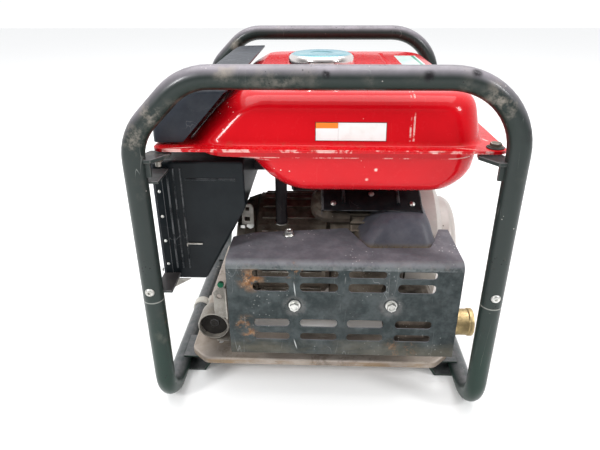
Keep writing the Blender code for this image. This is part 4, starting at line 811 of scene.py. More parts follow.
def piece(
    shape, name, finish, body="frame", slot=None, stands_for=(), sheet=0.0, cuts=None, edge=0.0,
    crease=40.0, worn=0.0012,
):
    """Put a shape in the scene as a finished piece that rides on a body."""
    bmesh.ops.remove_doubles(shape.bm, verts=shape.bm.verts[:], dist=0.000005)
    if not sheet:
        bmesh.ops.recalc_face_normals(shape.bm, faces=shape.bm.faces[:])
    mesh = bpy.data.meshes.new(name)
    shape.bm.to_mesh(mesh)
    shape.bm.free()
    made = bpy.data.objects.new(name, mesh)
    bpy.context.scene.collection.objects.link(made)
    if sheet:
        solidify = made.modifiers.new("sheet", "SOLIDIFY")
        solidify.thickness = sheet
        solidify.offset = -1.0
        solidify.use_even_offset = True
    tool = None
    if cuts:
        bmesh.ops.recalc_face_normals(cuts.bm, faces=cuts.bm.faces[:])
        tool_mesh = bpy.data.meshes.new(name + "_cuts")
        cuts.bm.to_mesh(tool_mesh)
        cuts.bm.free()
        tool = bpy.data.objects.new(name + "_cuts", tool_mesh)
        bpy.context.scene.collection.objects.link(tool)
        boolean = made.modifiers.new("cuts", "BOOLEAN")
        boolean.operation = "DIFFERENCE"
        boolean.object = tool
        boolean.use_self = True
    if edge:
        bevel = made.modifiers.new("edge", "BEVEL")
        bevel.width = edge
        bevel.segments = 2
        bevel.limit_method = "ANGLE"
        bevel.angle_limit = math.radians(crease)
        bevel.use_clamp_overlap = True
    if made.modifiers:
        settled(made)
    if tool:
        bpy.data.objects.remove(tool, do_unlink=True)
    made.data.materials.clear()
    made.data.materials.append(finish)
    mark_edges(made.data, worn)
    made.data.shade_smooth()
    made.data.set_sharp_from_angle(angle=math.radians(crease))
    weighted = made.modifiers.new("flat_faces", "WEIGHTED_NORMAL")
    weighted.keep_sharp = True
    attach(made, body)
    if stands_for:
        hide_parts(*stands_for)
    return made


def repaint(finish, *names):
    """Give CAD nodes a finish."""
    for name in names:
        nodes[name].data.materials.clear()
        nodes[name].data.materials.append(finish)
        nodes[name].data.shade_smooth()
        nodes[name].data.set_sharp_from_angle(angle=math.radians(35.0))


# ---------------------------------------------------------------- the frame

def hoops():
    """The two hoops of round tube, with their tank and control box brackets."""
    for name, side in (("front_hoop", -1.0), ("rear_hoop", 1.0)):
        y = side * HOOP_Y
        bottom = spans(name)[2][0]
        corners = [
            (-LEG_X, y, bottom),
            (-LEG_X, y, HOOP_TOP - CHAMFER),
            (-LEG_X + CHAMFER, y, HOOP_TOP),
            (LEG_X, y, HOOP_TOP),
            (LEG_X, y, bottom),
        ]
        shape = Shape()
        shape.tube(rounded_route(corners, (0.065, 0.065, 0.080)), TUBE, 40)
        for x in (-LEG_X, LEG_X):
            sign = math.copysign(1.0, x)
            points = [
                (x, y - side * 0.004),
                (x, y + side * 0.004),
                (x - sign * 0.020, y + side * 0.006),
                (x - sign * 0.036, y - side * 0.018),
                (x - sign * 0.034, y - side * 0.030),
                (x - sign * 0.010, y - side * 0.030),
            ]
            shape.plate(points, "XY", 0.3555, 0.3600, rounding=0.0008)
            gusset = [(x, y - side * 0.002), (x, y + side * 0.002), (x - sign * 0.018, y + side * 0.002)]
            gusset.append((x - sign * 0.018, y - side * 0.002))
            shape.plate(gusset, "XY", 0.3380, 0.3556, rounding=0.0006)
        for z in (0.186, 0.330):
            low_y, high_y = sorted((y, side * 0.2003 if side < 0 else 0.1953))
            shape.block((-LEG_X + 0.002, low_y, z), (-LEG_X + 0.024, high_y, z + 0.003), 0.0006)
        piece(shape, name + "_tube", FRAME_ENAMEL, slot=name, stands_for=[name])


def skids():
    """The two skids, each bent up at both ends, with folded feet welded inside."""
    for name, x in (("left_skid", -LEG_X), ("right_skid", LEG_X)):
        sign = math.copysign(1.0, x)
        top = spans(name)[2][1]
        corners = [(x, -HOOP_Y, top), (x, -HOOP_Y, TUBE), (x, HOOP_Y, TUBE), (x, HOOP_Y, top)]
        shape = Shape().tube(rounded_route(corners, SKID_BEND), TUBE, 40)
        channel = [
            (sign * across, up)
            for across, up in (
                (0.2030, 0.0),
                (0.1720, 0.0),
                (0.1560, 0.0247),
                (0.1560, 0.0277),
                (0.2030, 0.0277),
                (0.2030, 0.0247),
                (0.1605, 0.0247),
                (0.1740, 0.0030),
                (0.2030, 0.0030),
            )
        ]
        for y in (-0.147, 0.147):
            shape.plate(channel, "XZ", y - 0.025, y + 0.025, rounding=0.0007)
        piece(shape, name + "_tube", FRAME_ENAMEL, slot=name, stands_for=[name])


def frame_screws():
    """Pan-head screws with a hexagon socket that pin each hoop to its skid."""
    heads, sockets = Shape(), Shape()
    for x in (-LEG_X, LEG_X):
        for side in (-1.0, 1.0):
            face = side * (HOOP_Y + TUBE)
            out = Vector((0.0, side, 0.0))
            seat = Vector((x, face, 0.1937)) - out * 0.0016
            profile = [(0.0, 0.0034), (0.0030, 0.0033), (0.0047, 0.0026), (0.0056, 0.0012)]
            profile += [(0.0058, 0.0), (0.0, 0.0)]
            heads.turned(profile, seat, out, 32)
            sockets.rod(seat + out * 0.0016, seat + out * 0.0050, 0.0020, sides=6)
    piece(heads, "frame_screws", ZINC, slot="cover_bolt_left", cuts=sockets, edge=0.0002)


def leg_clip():
    """A pale cable clip around the left skid, cut flat underneath, with a windowed ear."""
    y = -0.020
    profile = [(0.0129, -0.008), (0.0146, -0.008), (0.0150, -0.0074)]
    profile += [(0.0150, 0.0074), (0.0146, 0.008), (0.0129, 0.008)]
    clip = Shape().turned(profile, Vector((-LEG_X, y, TUBE)), Y, 40, True)
    low = bmesh.ops.bisect_plane(
        clip.bm, geom=clip.everything(), plane_co=(0.0, 0.0, 0.0012), plane_no=Z, clear_inner=True
    )
    bmesh.ops.edgenet_fill(clip.bm, edges=[e for e in low["geom_cut"] if isinstance(e, bmesh.types.BMEdge)])
    clip.block((-LEG_X + 0.012, y - 0.008, 0.012), (-LEG_X + 0.0185, y + 0.008, 0.030), 0.0012)
    window = Shape().block((-LEG_X + 0.010, y - 0.0035, 0.016), (-LEG_X + 0.022, y + 0.0035, 0.026))
    piece(clip, "skid_clip", CLIP_GREY, cuts=window, edge=0.0003)


def pan_and_mounts():
    """The folded pan with rounded top edges, a drain hole, four more holes and an air opening, on waisted
    rubber mounts.
    """
    (left, right), (front, back), (low, high) = spans("base_pan")
    corner = 0.024
    points = [
        (right, back - corner),
        (right - corner, back),
        (left + corner, back),
        (left, back - corner),
        (left, front + corner),
        (left + corner, front),
        (right - corner, front),
        (right, front + corner),
    ]
    pan = Shape().plate(points, "XY", high, low, corner=0.006)
    bmesh.ops.recalc_face_normals(pan.bm, faces=pan.bm.faces[:])
    pan.bm.normal_update()
    pan.bevel([e for e in pan.bm.edges if all(v.co.z > high - 0.0001 for v in e.verts)], 0.0025, 4)
    pan.bm.normal_update()
    floor = [f for f in pan.bm.faces if f.normal.z < -0.9]
    bmesh.ops.delete(pan.bm, geom=floor, context="FACES_ONLY")
    holes = Shape()
    for x, y in ((-0.150, -0.150), (0.150, -0.150), (-0.150, 0.150), (0.150, 0.150), (0.0, 0.120)):
        holes.rod((x, y, high - 0.01), (x, y, high + 0.01), 0.0042, sides=24)
    holes.block((-0.105, -0.124, low), (0.105, -0.0885, high + 0.002))
    piece(
        pan, "pan_sheet", PAN_PAINT, slot="base_pan", stands_for=["base_pan"],
        sheet=0.0018, cuts=holes, edge=0.0003,
    )
    for index in range(4):
        name = f"rubber_mount_{index + 1}"
        across, along, (foot, head) = spans(name)
        height = head - foot
        profile = [(0.0, height), (0.0135, height), (0.014, height - 0.0006), (0.014, height - 0.0030)]
        profile += [(0.0122, height * 0.72), (0.0112, height * 0.5), (0.0122, height * 0.28)]
        profile += [(0.014, 0.0030), (0.014, 0.0006), (0.0135, 0.0), (0.0, 0.0)]
        mount = Shape().turned(profile, (middle(across), middle(along), foot), Z, 40)
        piece(mount, f"mount_{index + 1}", RUBBER, slot=name, stands_for=[name])


# ---------------------------------------------------------------- the tank


def tank_left(z):
    """Where the tank's sloping left end lies at a height."""
    return -0.149 + (z - 0.376) * 0.94


def tank():
    """The pressed tank shells, with pads, a pressed groove and a rolled seam flange."""
    (left, right), (front, back), (flange, top) = spans("tank_upper_shell")
    sheet = flange + TANK_SHEET
    rows = [((left, right), (front, back), 0.012, sheet)]
    for inset, height, corner in (
        (0.0, 0.0, 0.042),
        (-0.0030, 0.0008, 0.042),
        (-0.0052, 0.0028, 0.042),
        (-0.0062, 0.0060, 0.042),
        (-0.0090, 0.0200, 0.042),
        (-0.0125, 0.0340, 0.042),
        (-0.0150, 0.0405, 0.041),
        (-0.0185, 0.0455, 0.040),
        (-0.0235, 0.0495, 0.037),
        (-0.0300, 0.0525, 0.034),
        (-0.0380, 0.0543, 0.030),
        (-0.0470, top - sheet, 0.026),
    ):
        z = sheet + height
        round_off = max(0.0, height - 0.038) * 0.8
        x_range = (tank_left(z) + round_off - inset * 0.02, 0.188 + inset * 0.72)
        y_range = (-0.2180 - inset * 0.76, 0.2180 + inset * 0.76)
        rows.append((x_range, y_range, corner, z))
    shell = Shape().skin(rows, steps=10)
    cap_x = middle(spans("fuel_cap")[0])
    half, ramp, depth = 0.046, 0.010, 0.007
    cuts = [cap_x + s * (half + ramp * t) for s in (-1.0, 1.0) for t in (0.0, 0.25, 0.5, 0.75, 1.0)]
    groove = 0.0985
    cuts += [groove - 0.0040, groove - 0.0020, groove, groove + 0.0020, groove + 0.0040]
    for x in cuts:
        bmesh.ops.bisect_plane(shell.bm, geom=shell.everything(), plane_co=(x, 0.0, 0.0), plane_no=X)
    for y in (-0.160, -0.1535, -0.1475, -0.1415, -0.135, 0.135, 0.1415, 0.1475, 0.1535, 0.160):
        flat = [f for f in shell.bm.faces if all(v.co.z > 0.400 for v in f.verts)]
        geometry = flat + list({e for f in flat for e in f.edges}) + list({v for f in flat for v in f.verts})
        bmesh.ops.bisect_plane(shell.bm, geom=geometry, plane_co=(0.0, y, 0.0), plane_no=Y)
    for vert in shell.bm.verts:
        across = eased((half + ramp - abs(vert.co.x - cap_x)) / ramp)
        up = share((vert.co.z - 0.404) / (top - 0.404))
        run = eased((0.160 - abs(vert.co.y)) / 0.025)
        dip = depth * across * up * run
        dip += 0.0022 * max(0.0, 1.0 - abs(vert.co.x - groove) / 0.0041) * up * run
        vert.co.z -= dip
    bmesh.ops.recalc_face_normals(shell.bm, faces=shell.bm.faces[:])
    shell.bm.normal_update()
    hole = Shape().rod((cap_x, -0.052, 0.40), (cap_x, -0.052, 0.45), 0.030, sides=48)
    piece(
        shell, "tank_upper", TANK_RED, slot="tank_upper_shell", stands_for=["tank_upper_shell"],
        sheet=TANK_SHEET, cuts=hole, crease=32.0, worn=0.0020,
    )

    (left, right), (front, back), (bottom, flange) = spans("tank_lower_shell")
    seam = flange - TANK_SHEET
    rows = [((left, right), (front, back), 0.012, seam)]
    for x_low, x_high, y_half, corner, z in (
        (-0.1520, 0.1862, 0.2150, 0.042, seam),
        (-0.1500, 0.1838, 0.2134, 0.042, seam - 0.0010),
        (-0.1488, 0.1826, 0.2126, 0.042, seam - 0.0040),
        (-0.1470, 0.1820, 0.2120, 0.040, 0.3520),
        (-0.1150, 0.1815, 0.2116, 0.038, 0.3508),
        (-0.0960, 0.1811, 0.2111, 0.036, 0.3480),
        (-0.0870, 0.1806, 0.2106, 0.036, 0.3440),
        (-0.0775, 0.1790, 0.2100, 0.036, 0.3340),
        (-0.0690, 0.1742, 0.2085, 0.036, 0.3240),
        (-0.0590, 0.1672, 0.2052, 0.036, 0.3155),
        (-0.0500, 0.1600, 0.2005, 0.032, 0.3096),
        (-0.0400, 0.1508, 0.1935, 0.028, 0.3056),
        (-0.0300, 0.1420, 0.1860, 0.024, bottom),
    ):
        rows.append(((x_low, x_high), (-y_half, y_half), corner, z))
    under = Shape().skin(rows, steps=10).outwards(-Z)
    outlet = Shape().rod((0.110, 0.100, bottom - 0.01), (0.110, 0.100, bottom + 0.01), 0.005, sides=24)
    piece(
        under, "tank_lower", TANK_RED, slot="tank_lower_shell", stands_for=["tank_lower_shell"],
        sheet=TANK_SHEET, cuts=outlet, crease=32.0, worn=0.0020,
    )


def tank_fittings():
    """Flange bolts on their washers, the blank label and plate, and the filler's cap and neck."""
    bolts, washers = Shape(), Shape()
    seat = spans("tank_upper_shell")[2][0] + TANK_SHEET
    for y in (-0.2150, 0.2150):
        place = Vector((0.1925, y, seat))
        profile = [(0.0, 0.0), (0.0096, 0.0), (0.0100, 0.0004), (0.0096, 0.0014), (0.0, 0.0016)]
        washers.turned(profile, place, Z, 40)
        bolts.rod(place + Z * 0.0015, place + Z * 0.0062, 0.0066, 0.0007, sides=6)
        bolts.rod(place + Z * 0.0015, place + Z * 0.0026, 0.0078, 0.0004, sides=36)
    for y in (-0.2230, 0.2230):
        place = Vector((-0.1880, y, 0.3552))
        bolts.rod(place, place - Z * 0.0060, 0.0064, 0.0007, sides=6)
        bolts.rod(place - Z * 0.0050, place - Z * 0.0120, 0.0032, 0.0004, sides=24)
    piece(washers, "tank_washers", RUBBER, slot="fuel_cap_gasket")
    piece(bolts, "tank_bolts", IRON, slot="cover_bolt_top")

    low_x, high_x, low_z, high_z = -0.0087, 0.0711, 0.3720, 0.3930
    lean = Matrix.Rotation(math.radians(-9.2), 3, "X")
    face_y = -0.2138
    label = Shape().block(
        (low_x, face_y, low_z), (high_x, -0.2135, high_z), turn=lean, about=(0.0, face_y, low_z)
    )
    finish = label_print((low_x, high_x), (low_z, high_z - 0.0003))
    piece(label, "front_label", finish, slot="tank_upper_shell")

    plate_x, plate_y = (0.118, 0.153), (0.014, 0.124)
    top = spans("tank_upper_shell")[2][1]
    corners = ((plate_x[0], plate_y[0], top - 0.0006), (plate_x[1], plate_y[1], top + 0.0004))
    plate = Shape().block(*corners, 0.0003, 2)
    piece(plate, "top_plate", plate_print(plate_x, plate_y), slot="tank_upper_shell")

    across, along, (cap_low, cap_top) = spans("fuel_cap")
    centre = Vector((middle(across), middle(along), 0.0))
    radius = (across[1] - across[0]) / 2.0
    under = spans("fuel_cap_gasket")[2][1] + 0.0003
    profile = [(0.0, cap_top - 0.0012), (0.014, cap_top - 0.0012), (0.0165, cap_top - 0.0002)]
    profile += [(0.030, cap_top), (0.0345, cap_top - 0.0001)]
    profile += [(0.0385, cap_top - 0.0009), (0.0418, cap_top - 0.0026)]
    profile += [(0.0434, cap_top - 0.0046), (radius, cap_top - 0.0072), (radius, cap_low + 0.0022)]
    profile += [(radius - 0.0005, cap_low + 0.0006), (radius - 0.0012, cap_low)]
    profile += [(radius - 0.0025, cap_low + 0.0006), (radius - 0.0025, under), (0.0, under)]
    cap = Shape().turned(profile, centre, Z, 96)
    finish = cap_plating((centre.x, centre.y, cap_top), radius)
    piece(cap, "filler_cap", finish, body="fuel_cap", slot="fuel_cap", stands_for=["fuel_cap"], crease=50.0)

    low, high = spans("filler_neck")[2]
    profile = [(0.0300, high - 0.0004), (0.0310, high), (0.0322, high - 0.0003), (0.0332, high - 0.0016)]
    profile += [(0.0335, high - 0.0040), (0.0336, low + 0.0040), (0.0345, low + 0.0016), (0.0370, low)]
    profile += [(0.0295, low), (0.0295, high - 0.0012)]
    neck = Shape().turned(profile, centre, Z, 64, True)
    piece(neck, "neck", TANK_RED, slot="filler_neck", stands_for=["filler_neck"])


def side_cover():
    """The moulded cover over the tank's sloping left end: a rounded hollow shell."""
    (left, _), (front, back), (low, high) = spans("tank_side_cover")
    points = [(left, low), (left, 0.3900), (-0.1575, high - 0.0012), (-0.1060, high), (-0.1600, low)]
    shell = Shape().plate(points, "XZ", front, back)
    inner = Vector((high - low, 0.0, -0.054)).normalized()

    def dropped(face):
        """Whether the cover is open on this side, below or against the tank."""
        return face.normal.z < -0.98 or face.normal.dot(inner) > 0.98

    bmesh.ops.recalc_face_normals(shell.bm, faces=shell.bm.faces[:])
    shell.bm.normal_update()
    kept = [e for e in shell.bm.edges if not any(dropped(f) for f in e.link_faces)]
    shell.bevel([e for e in kept if e.calc_length() > 0.3], 0.0120, 6)
    shell.bm.normal_update()
    kept = [e for e in shell.bm.edges if not any(dropped(f) for f in e.link_faces)]
    rims = [e for e in kept if any(abs(f.normal.y) > 0.98 for f in e.link_faces)]
    shell.bevel(rims, 0.0045, 4)
    shell.bm.normal_update()
    bmesh.ops.delete(shell.bm, geom=[f for f in shell.bm.faces if dropped(f)], context="FACES")
    shell.towards((-0.7, 0.0, 0.7))
    piece(
        shell, "side_cover", SIDE_COVER_GREY, slot="tank_side_cover", stands_for=["tank_side_cover"],
        sheet=0.0025, crease=50.0,
    )


# ---------------------------------------------------------------- muffler side


def muffler_cover():
    """The slotted sheet cover, with dished bolt seats and a notch for the hood."""
    (left, right), (front, back), (low, high) = spans("muffler_cover")
    corners = [(left, front, low), (left, front, high), (left, back, high)]
    sheet = Shape().strip(rounded_route(corners, 0.010), (right - left, 0.0, 0.0)).towards((0.0, -1.0, 0.0))
    cuts = Shape()
    for x, width in ((-0.063, 0.046), (-0.002, 0.048), (0.0585, 0.047), (0.1205, 0.047)):
        for z, height in ((0.2060, 0.010), (0.1865, 0.0130), (0.1320, 0.012), (0.1105, 0.011)):
            corners = [(x - width / 2, z - height / 2), (x + width / 2, z - height / 2)]
            corners += [(x + width / 2, z + height / 2), (x - width / 2, z + height / 2)]
            cuts.plate(corners, "XZ", front - 0.01, front + 0.01, corner=height * 0.40, steps=5)
    for x, z in COVER_BOLTS:
        profile = [(0.0, -0.01), (0.0098, -0.01), (0.0092, 0.0), (0.0082, 0.0009), (0.0, 0.0009)]
        cuts.turned(profile, (x, front, z), Y, 40)
        cuts.rod((x, front - 0.01, z), (x, front + 0.01, z), 0.0034, sides=24)
    cuts.rod((-0.044, -0.152, high - 0.01), (-0.044, -0.152, high + 0.01), 0.0034, sides=24)
    notch = [(0.033, -0.120), (0.062, -0.187), (0.142, -0.184), (0.166, -0.120)]
    cuts.plate(notch, "XY", high - 0.008, high + 0.008, corner=0.006)
    slant = [(left - 0.01, -0.164), (-0.094, -0.146), (0.040, -0.1275), (0.040, -0.110), (-0.140, -0.110)]
    cuts.plate(slant, "XY", high - 0.008, high + 0.008)
    piece(
        sheet, "slotted_cover", COVER_ENAMEL, slot="muffler_cover", stands_for=["muffler_cover"],
        sheet=0.0015, cuts=cuts, edge=0.0004, crease=36.0, worn=0.0017,
    )


def hood():
    """The pressed hood over the cylinder head, with its folded foot."""
    _, (front, back), (low, _) = spans("head_shroud")
    rows = []
    for rise, x_low, x_high, y_front in (
        (0.0, 0.0445, 0.1565, -0.1805),
        (0.0025, 0.0470, 0.1545, -0.1785),
        (0.0120, 0.0560, 0.1500, -0.1730),
        (0.0230, 0.0660, 0.1470, -0.1665),
        (0.0310, 0.0735, 0.1440, -0.1615),
        (0.0365, 0.0800, 0.1410, -0.1570),
        (0.0400, 0.0870, 0.1370, -0.1520),
        (0.0418, 0.0950, 0.1310, -0.1460),
    ):
        rows.append(((x_low, x_high), (y_front, back + 0.030), 0.016, low + rise))
    dome = Shape().skin(rows)
    bmesh.ops.bisect_plane(
        dome.bm, geom=dome.everything(), plane_co=(0.0, back, 0.0), plane_no=Y, clear_outer=True
    )
    dome.outwards(Z)
    piece(
        dome, "hood", HOOD_PLASTIC, slot="head_shroud", stands_for=["head_shroud"],
        sheet=0.0015, crease=60.0,
    )
    points = [(0.0600, front), (0.1435, front), (0.1470, -0.1770), (0.0530, -0.1770)]
    foot = Shape().plate(points, "XY", low + 0.0010, low + 0.0025, corner=0.004, rounding=0.0003)
    piece(foot, "hood_foot", HOOD_PLASTIC, slot="head_shroud")


def air_guide():
    """The black sheet guide over the cylinder, with turned-down edges, two beads and three screws."""
    start, end = Vector((0.0, -0.1460, 0.2572)), Vector((0.0, -0.0500, 0.3012))
    way = (end - start).normalized()
    up = X.cross(way)
    right = start + X * 0.136
    corners = [start - up * 0.010, start, right, right - up * 0.006]
    sheet = Shape().strip(rounded_route(corners, 0.0030, math.radians(18.0)), end - start).towards(Z)
    piece(
        sheet, "air_guide", BOX_BLACK, slot="head_shroud", stands_for=["head_shroud"],
        sheet=0.0012, edge=0.0003,
    )
    beads, screws = Shape(), Shape()
    for x in (0.030, 0.104):
        centre = start + X * x + way * 0.046
        beads.rod(centre - way * 0.034, centre + way * 0.034, 0.0022, 0.0010, sides=16)
    for x, along in ((0.016, 0.012), (0.122, 0.012), (0.068, 0.030)):
        seat = start + X * x + way * along + up * 0.0002
        profile = [(0.0, 0.0030), (0.0022, 0.0028), (0.0038, 0.0014), (0.0040, 0.0), (0.0, 0.0)]
        screws.turned(profile, seat, up, 28)
    piece(beads, "guide_beads", BOX_BLACK, slot="head_shroud")
    piece(screws, "guide_screws", ZINC, slot="cover_bolt_top")


def left_mount():
    """A bracket, with its foot apart from its upright, a rolled bush, and a green earth stud."""
    centre = Vector((-0.1600, -0.1480, 0.0645))
    profile = [(0.0205, 0.0), (0.0215, -0.0012), (0.0230, -0.0004)]
    profile += [(0.0234, 0.0012), (0.0230, 0.030), (0.0205, 0.030)]
    bush = Shape().turned(profile, centre, Y, 48, True)
    piece(bush, "mount_bush", CLEAN_CASTING, slot="base_pan")
    core = Shape().turned([(0.0, 0.012), (0.0204, 0.008), (0.0204, 0.028), (0.0, 0.028)], centre, Y, 48)
    core.rod(centre + Y * 0.008, centre + Y * 0.029, 0.0070, 0.0008, sides=6)
    piece(core, "bush_rubber", RUBBER, slot="rubber_mount_1")
    bracket = Shape()
    points = [(-0.1560, 0.0860), (-0.1380, 0.0800), (-0.1380, 0.1330), (-0.1430, 0.1380), (-0.1560, 0.1250)]
    bracket.plate(points, "XZ", -0.1500, -0.1474, rounding=0.0006)
    bracket.block((-0.1395, -0.1500, 0.0780), (-0.1370, -0.1200, 0.1330), 0.0006)
    bracket.block((-0.1560, -0.1500, 0.0380), (-0.1370, -0.1200, 0.0405), 0.0006)
    hole = Shape().rod((-0.1475, -0.16, 0.1190), (-0.1475, -0.14, 0.1190), 0.0038, sides=28)
    piece(bracket, "mount_bracket", CLEAN_CASTING, slot="base_pan", cuts=hole, edge=0.0003)
    stud = Shape().rod((-0.1440, -0.1510, 0.1390), (-0.1440, -0.1460, 0.1390), 0.0046, 0.0006, sides=32)
    piece(stud, "earth_stud", TERMINAL_GREEN, slot="control_panel")


def cover_bolts():
    """Hexagon flange bolts with hollow heads, standing for the plain ones."""
    for name in ("cover_bolt_left", "cover_bolt_right", "cover_bolt_top"):
        across, along, upright = spans(name)
        out, end = -Y, Vector((middle(across), along[0], middle(upright)))
        if name == "cover_bolt_top":
            out, end = Z, Vector((middle(across), middle(along), upright[1]))
        seat = end - out * 0.0072
        bolt = Shape()
        flange = [(0.0, 0.0), (0.0074, 0.0), (0.0078, 0.0006), (0.0074, 0.0014), (0.0, 0.0020)]
        bolt.turned(flange, seat, out, 40)
        bolt.rod(seat + out * 0.0010, seat + out * 0.0072, 0.0061, 0.0006, sides=6)
        bolt.rod(seat - out * 0.0050, seat + out * 0.0005, 0.0030, sides=20)
        hollow = [(0.0, 0.0075), (0.0038, 0.0075), (0.0030, 0.0060), (0.0, 0.0056)]
        dish = Shape().turned(hollow, seat, out, 32)
        piece(bolt, name.replace("cover_", "plated_"), ZINC, slot=name, stands_for=[name], cuts=dish)


def exhaust():
    """The tail pipe with its rolled end."""
    (left, right), along, upright = spans("tail_pipe")
    origin = (0.0, middle(along), middle(upright))
    profile = [(0.0163, right - 0.0010), (0.0172, right), (0.0184, right - 0.0003), (0.0190, right - 0.0014)]
    profile += [(0.0190, right - 0.0056), (0.0187, right - 0.0066), (0.0180, right - 0.0074)]
    profile += [(0.0178, right - 0.0200), (0.0182, right - 0.0212)]
    profile += [(0.0182, right - 0.0240), (0.0178, right - 0.0252), (0.0178, left)]
    pipe = Shape().turned(profile + [(0.0160, left), (0.0160, right - 0.0016)], origin, X, 56, True)
    piece(pipe, "tail_pipe_tube", BRASS, slot="tail_pipe", stands_for=["tail_pipe"])


# ---------------------------------------------------------------- control box side


def control_box():
    """Pressed ribs, a flange of small screws, a tab and a lower bracket on the box."""
    (left, _), (front, _), _ = spans("control_box")
    trim = Shape()
    for x, width in ((-0.1880, 0.0022), (-0.1800, 0.0018), (-0.1715, 0.0018)):
        trim.block((x, front - 0.0016, 0.196), (x + width, front + 0.0008, 0.334), 0.0008)
    trim.block((left + 0.0002, front - 0.0012, 0.183), (left + 0.0095, front + 0.0008, 0.339), 0.0005)
    trim.block((-0.166, front - 0.0010, 0.318), (-0.104, front + 0.0006, 0.3205), 0.0005)
    piece(trim, "box_ribs", BOX_BLACK, slot="control_box")
    bracket = Shape()
    points = [(-0.2040, 0.1610), (-0.1700, 0.1806), (-0.2040, 0.1806)]
    bracket.plate(points, "XZ", front - 0.0018, front - 0.0002, rounding=0.0004)
    bracket.block((-0.2046, front - 0.0020, 0.1600), (-0.1990, front + 0.0200, 0.1812), 0.0006)
    hole = Shape().rod((-0.1930, front - 0.01, 0.1745), (-0.1930, front + 0.01, 0.1745), 0.0022, sides=20)
    piece(bracket, "box_bracket", CLEAN_CASTING, slot="control_box", cuts=hole)
    screws = Shape()
    for z in (0.2025, 0.2360, 0.2700, 0.3035, 0.3290):
        profile = [(0.0, 0.0014), (0.0010, 0.0013), (0.0019, 0.0006), (0.0020, 0.0), (0.0, 0.0)]
        screws.turned(profile, (-0.1982, front - 0.0011, z), -Y, 20)
    piece(screws, "box_screws", ZINC, slot="cover_bolt_left")
    tab = Shape().block((-0.1712, front - 0.0024, 0.2318), (-0.1510, front - 0.0003, 0.2332), 0.0003)
    tab.block((-0.1712, front - 0.0024, 0.2290), (-0.1700, front - 0.0003, 0.2332), 0.0003)
    piece(tab, "box_tab", CLIP_GREY, slot="control_box")


def control_panel():
    """What stands on the panel: sockets, meter bezel and needle, switch marks, terminals, screws."""
    face = spans("control_panel")[0][0]
    (out_x, in_x), (y0, y1), (z0, z1) = spans("power_outlet")
    middle_z = (z0 + z1) / 2.0
    body, cuts, lids = Shape().block((out_x, y0, z0), (in_x, y1, z1), 0.0022, 4), Shape(), Shape()
    for index in range(2):
        y = y0 + (y1 - y0) * (0.27 + 0.46 * index)
        cuts.rod((out_x - 0.01, y, middle_z), (out_x + 0.0020, y, middle_z), 0.0165, sides=48)
        for slit_y in (y - 0.0063, y + 0.0063):
            low = (out_x - 0.01, slit_y - 0.0012, middle_z + 0.003 - 0.0045)
            cuts.block(low, (out_x + 0.005, slit_y + 0.0012, middle_z + 0.003 + 0.0045))
        cuts.rod((out_x - 0.01, y, middle_z - 0.0085), (out_x + 0.005, y, middle_z - 0.0085), 0.0024, sides=20)
        hinge = Vector((out_x + 0.0004, y, z1 - 0.0030))
        lids.rod(hinge - Y * 0.006, hinge + Y * 0.006, 0.0016, 0.0004, sides=20)
    piece(body, "outlet", CASE_GREY, slot="power_outlet", stands_for=["power_outlet"], cuts=cuts, edge=0.0004)
    piece(lids, "outlet_hinges", ZINC, slot="power_outlet")

    (front_x, back_x), across, upright = spans("voltmeter")
    centre = (middle((front_x, back_x)), middle(across), middle(upright))
    radius = (across[1] - across[0]) / 2.0
    origin = (front_x, centre[1], centre[2])
    disc = [(0.0, 0.0022), (radius - 0.0035, 0.0022), (radius - 0.0035, 0.0035), (0.0, 0.0035)]
    dial = Shape().turned(disc, origin, X, 56)
    dial_finish = meter_dial(centre, radius * 0.80)
    profile = [(radius - 0.0034, 0.0022), (radius - 0.0030, 0.0006), (radius - 0.0022, 0.0)]
    profile += [(radius - 0.0008, 0.0004), (radius, 0.0020)]
    profile += [(radius, back_x - front_x), (radius - 0.0034, back_x - front_x)]
    bezel = Shape().turned(profile, origin, X, 56, True)
    piece(bezel, "meter_bezel", SWITCH_BLACK, slot="voltmeter", stands_for=["voltmeter"])
    piece(dial, "meter_face", dial_finish, slot="voltmeter")
    needle = Shape()
    pivot = Vector((front_x + 0.0016, centre[1], centre[2] - radius * 0.28))
    needle.rod(pivot, pivot + Vector((0.0, -0.0040, 0.0185)), 0.0004, end_radius=0.00015, sides=12)
    needle.rod(pivot - X * 0.0004, pivot + X * 0.0008, 0.0016, 0.0002, sides=24)
    piece(needle, "meter_needle", SWITCH_BLACK, slot="voltmeter")

    marks = Shape()
    _, across, upright = spans("engine_switch")
    knob = Vector((face - 0.0002, middle(across), middle(upright)))
    for turn in (0.0, 45.0, 90.0):
        angle = math.radians(turn)
        way = Vector((0.0, math.sin(angle), math.cos(angle)))
        start, end = knob + way * 0.0155, knob + way * 0.0200
        marks.rod(start, end, 0.0005, sides=12)
    ring = [(0.0138, 0.0), (0.0150, 0.0), (0.0150, 0.0006), (0.0138, 0.0006)]
    marks.turned(ring, knob + X * 0.0001, -X, 48, True)
    piece(marks, "switch_marks", PORCELAIN, slot="control_panel")
    terminals = Shape()
    for y, z in ((0.158, 0.215), (0.176, 0.215)):
        base = Vector((face, y, z))
        terminals.rod(base + X * 0.0006, base - X * 0.0022, 0.0066, 0.0005, sides=6)
        terminals.rod(base - X * 0.0020, base - X * 0.0060, 0.0040, 0.0006, sides=32)
    piece(terminals, "earth_terminals", BRASS, slot="control_panel")
    rivets = Shape()
    for y in (-0.190, 0.0, 0.186):
        for z in (0.187, 0.335):
            profile = [(0.0, 0.0013), (0.0012, 0.0012), (0.0024, 0.0006), (0.0028, 0.0), (0.0, 0.0)]
            rivets.turned(profile, (face, y, z), -X, 24)
    piece(rivets, "panel_screws", ZINC, slot="control_panel")


# ---------------------------------------------------------------- engine


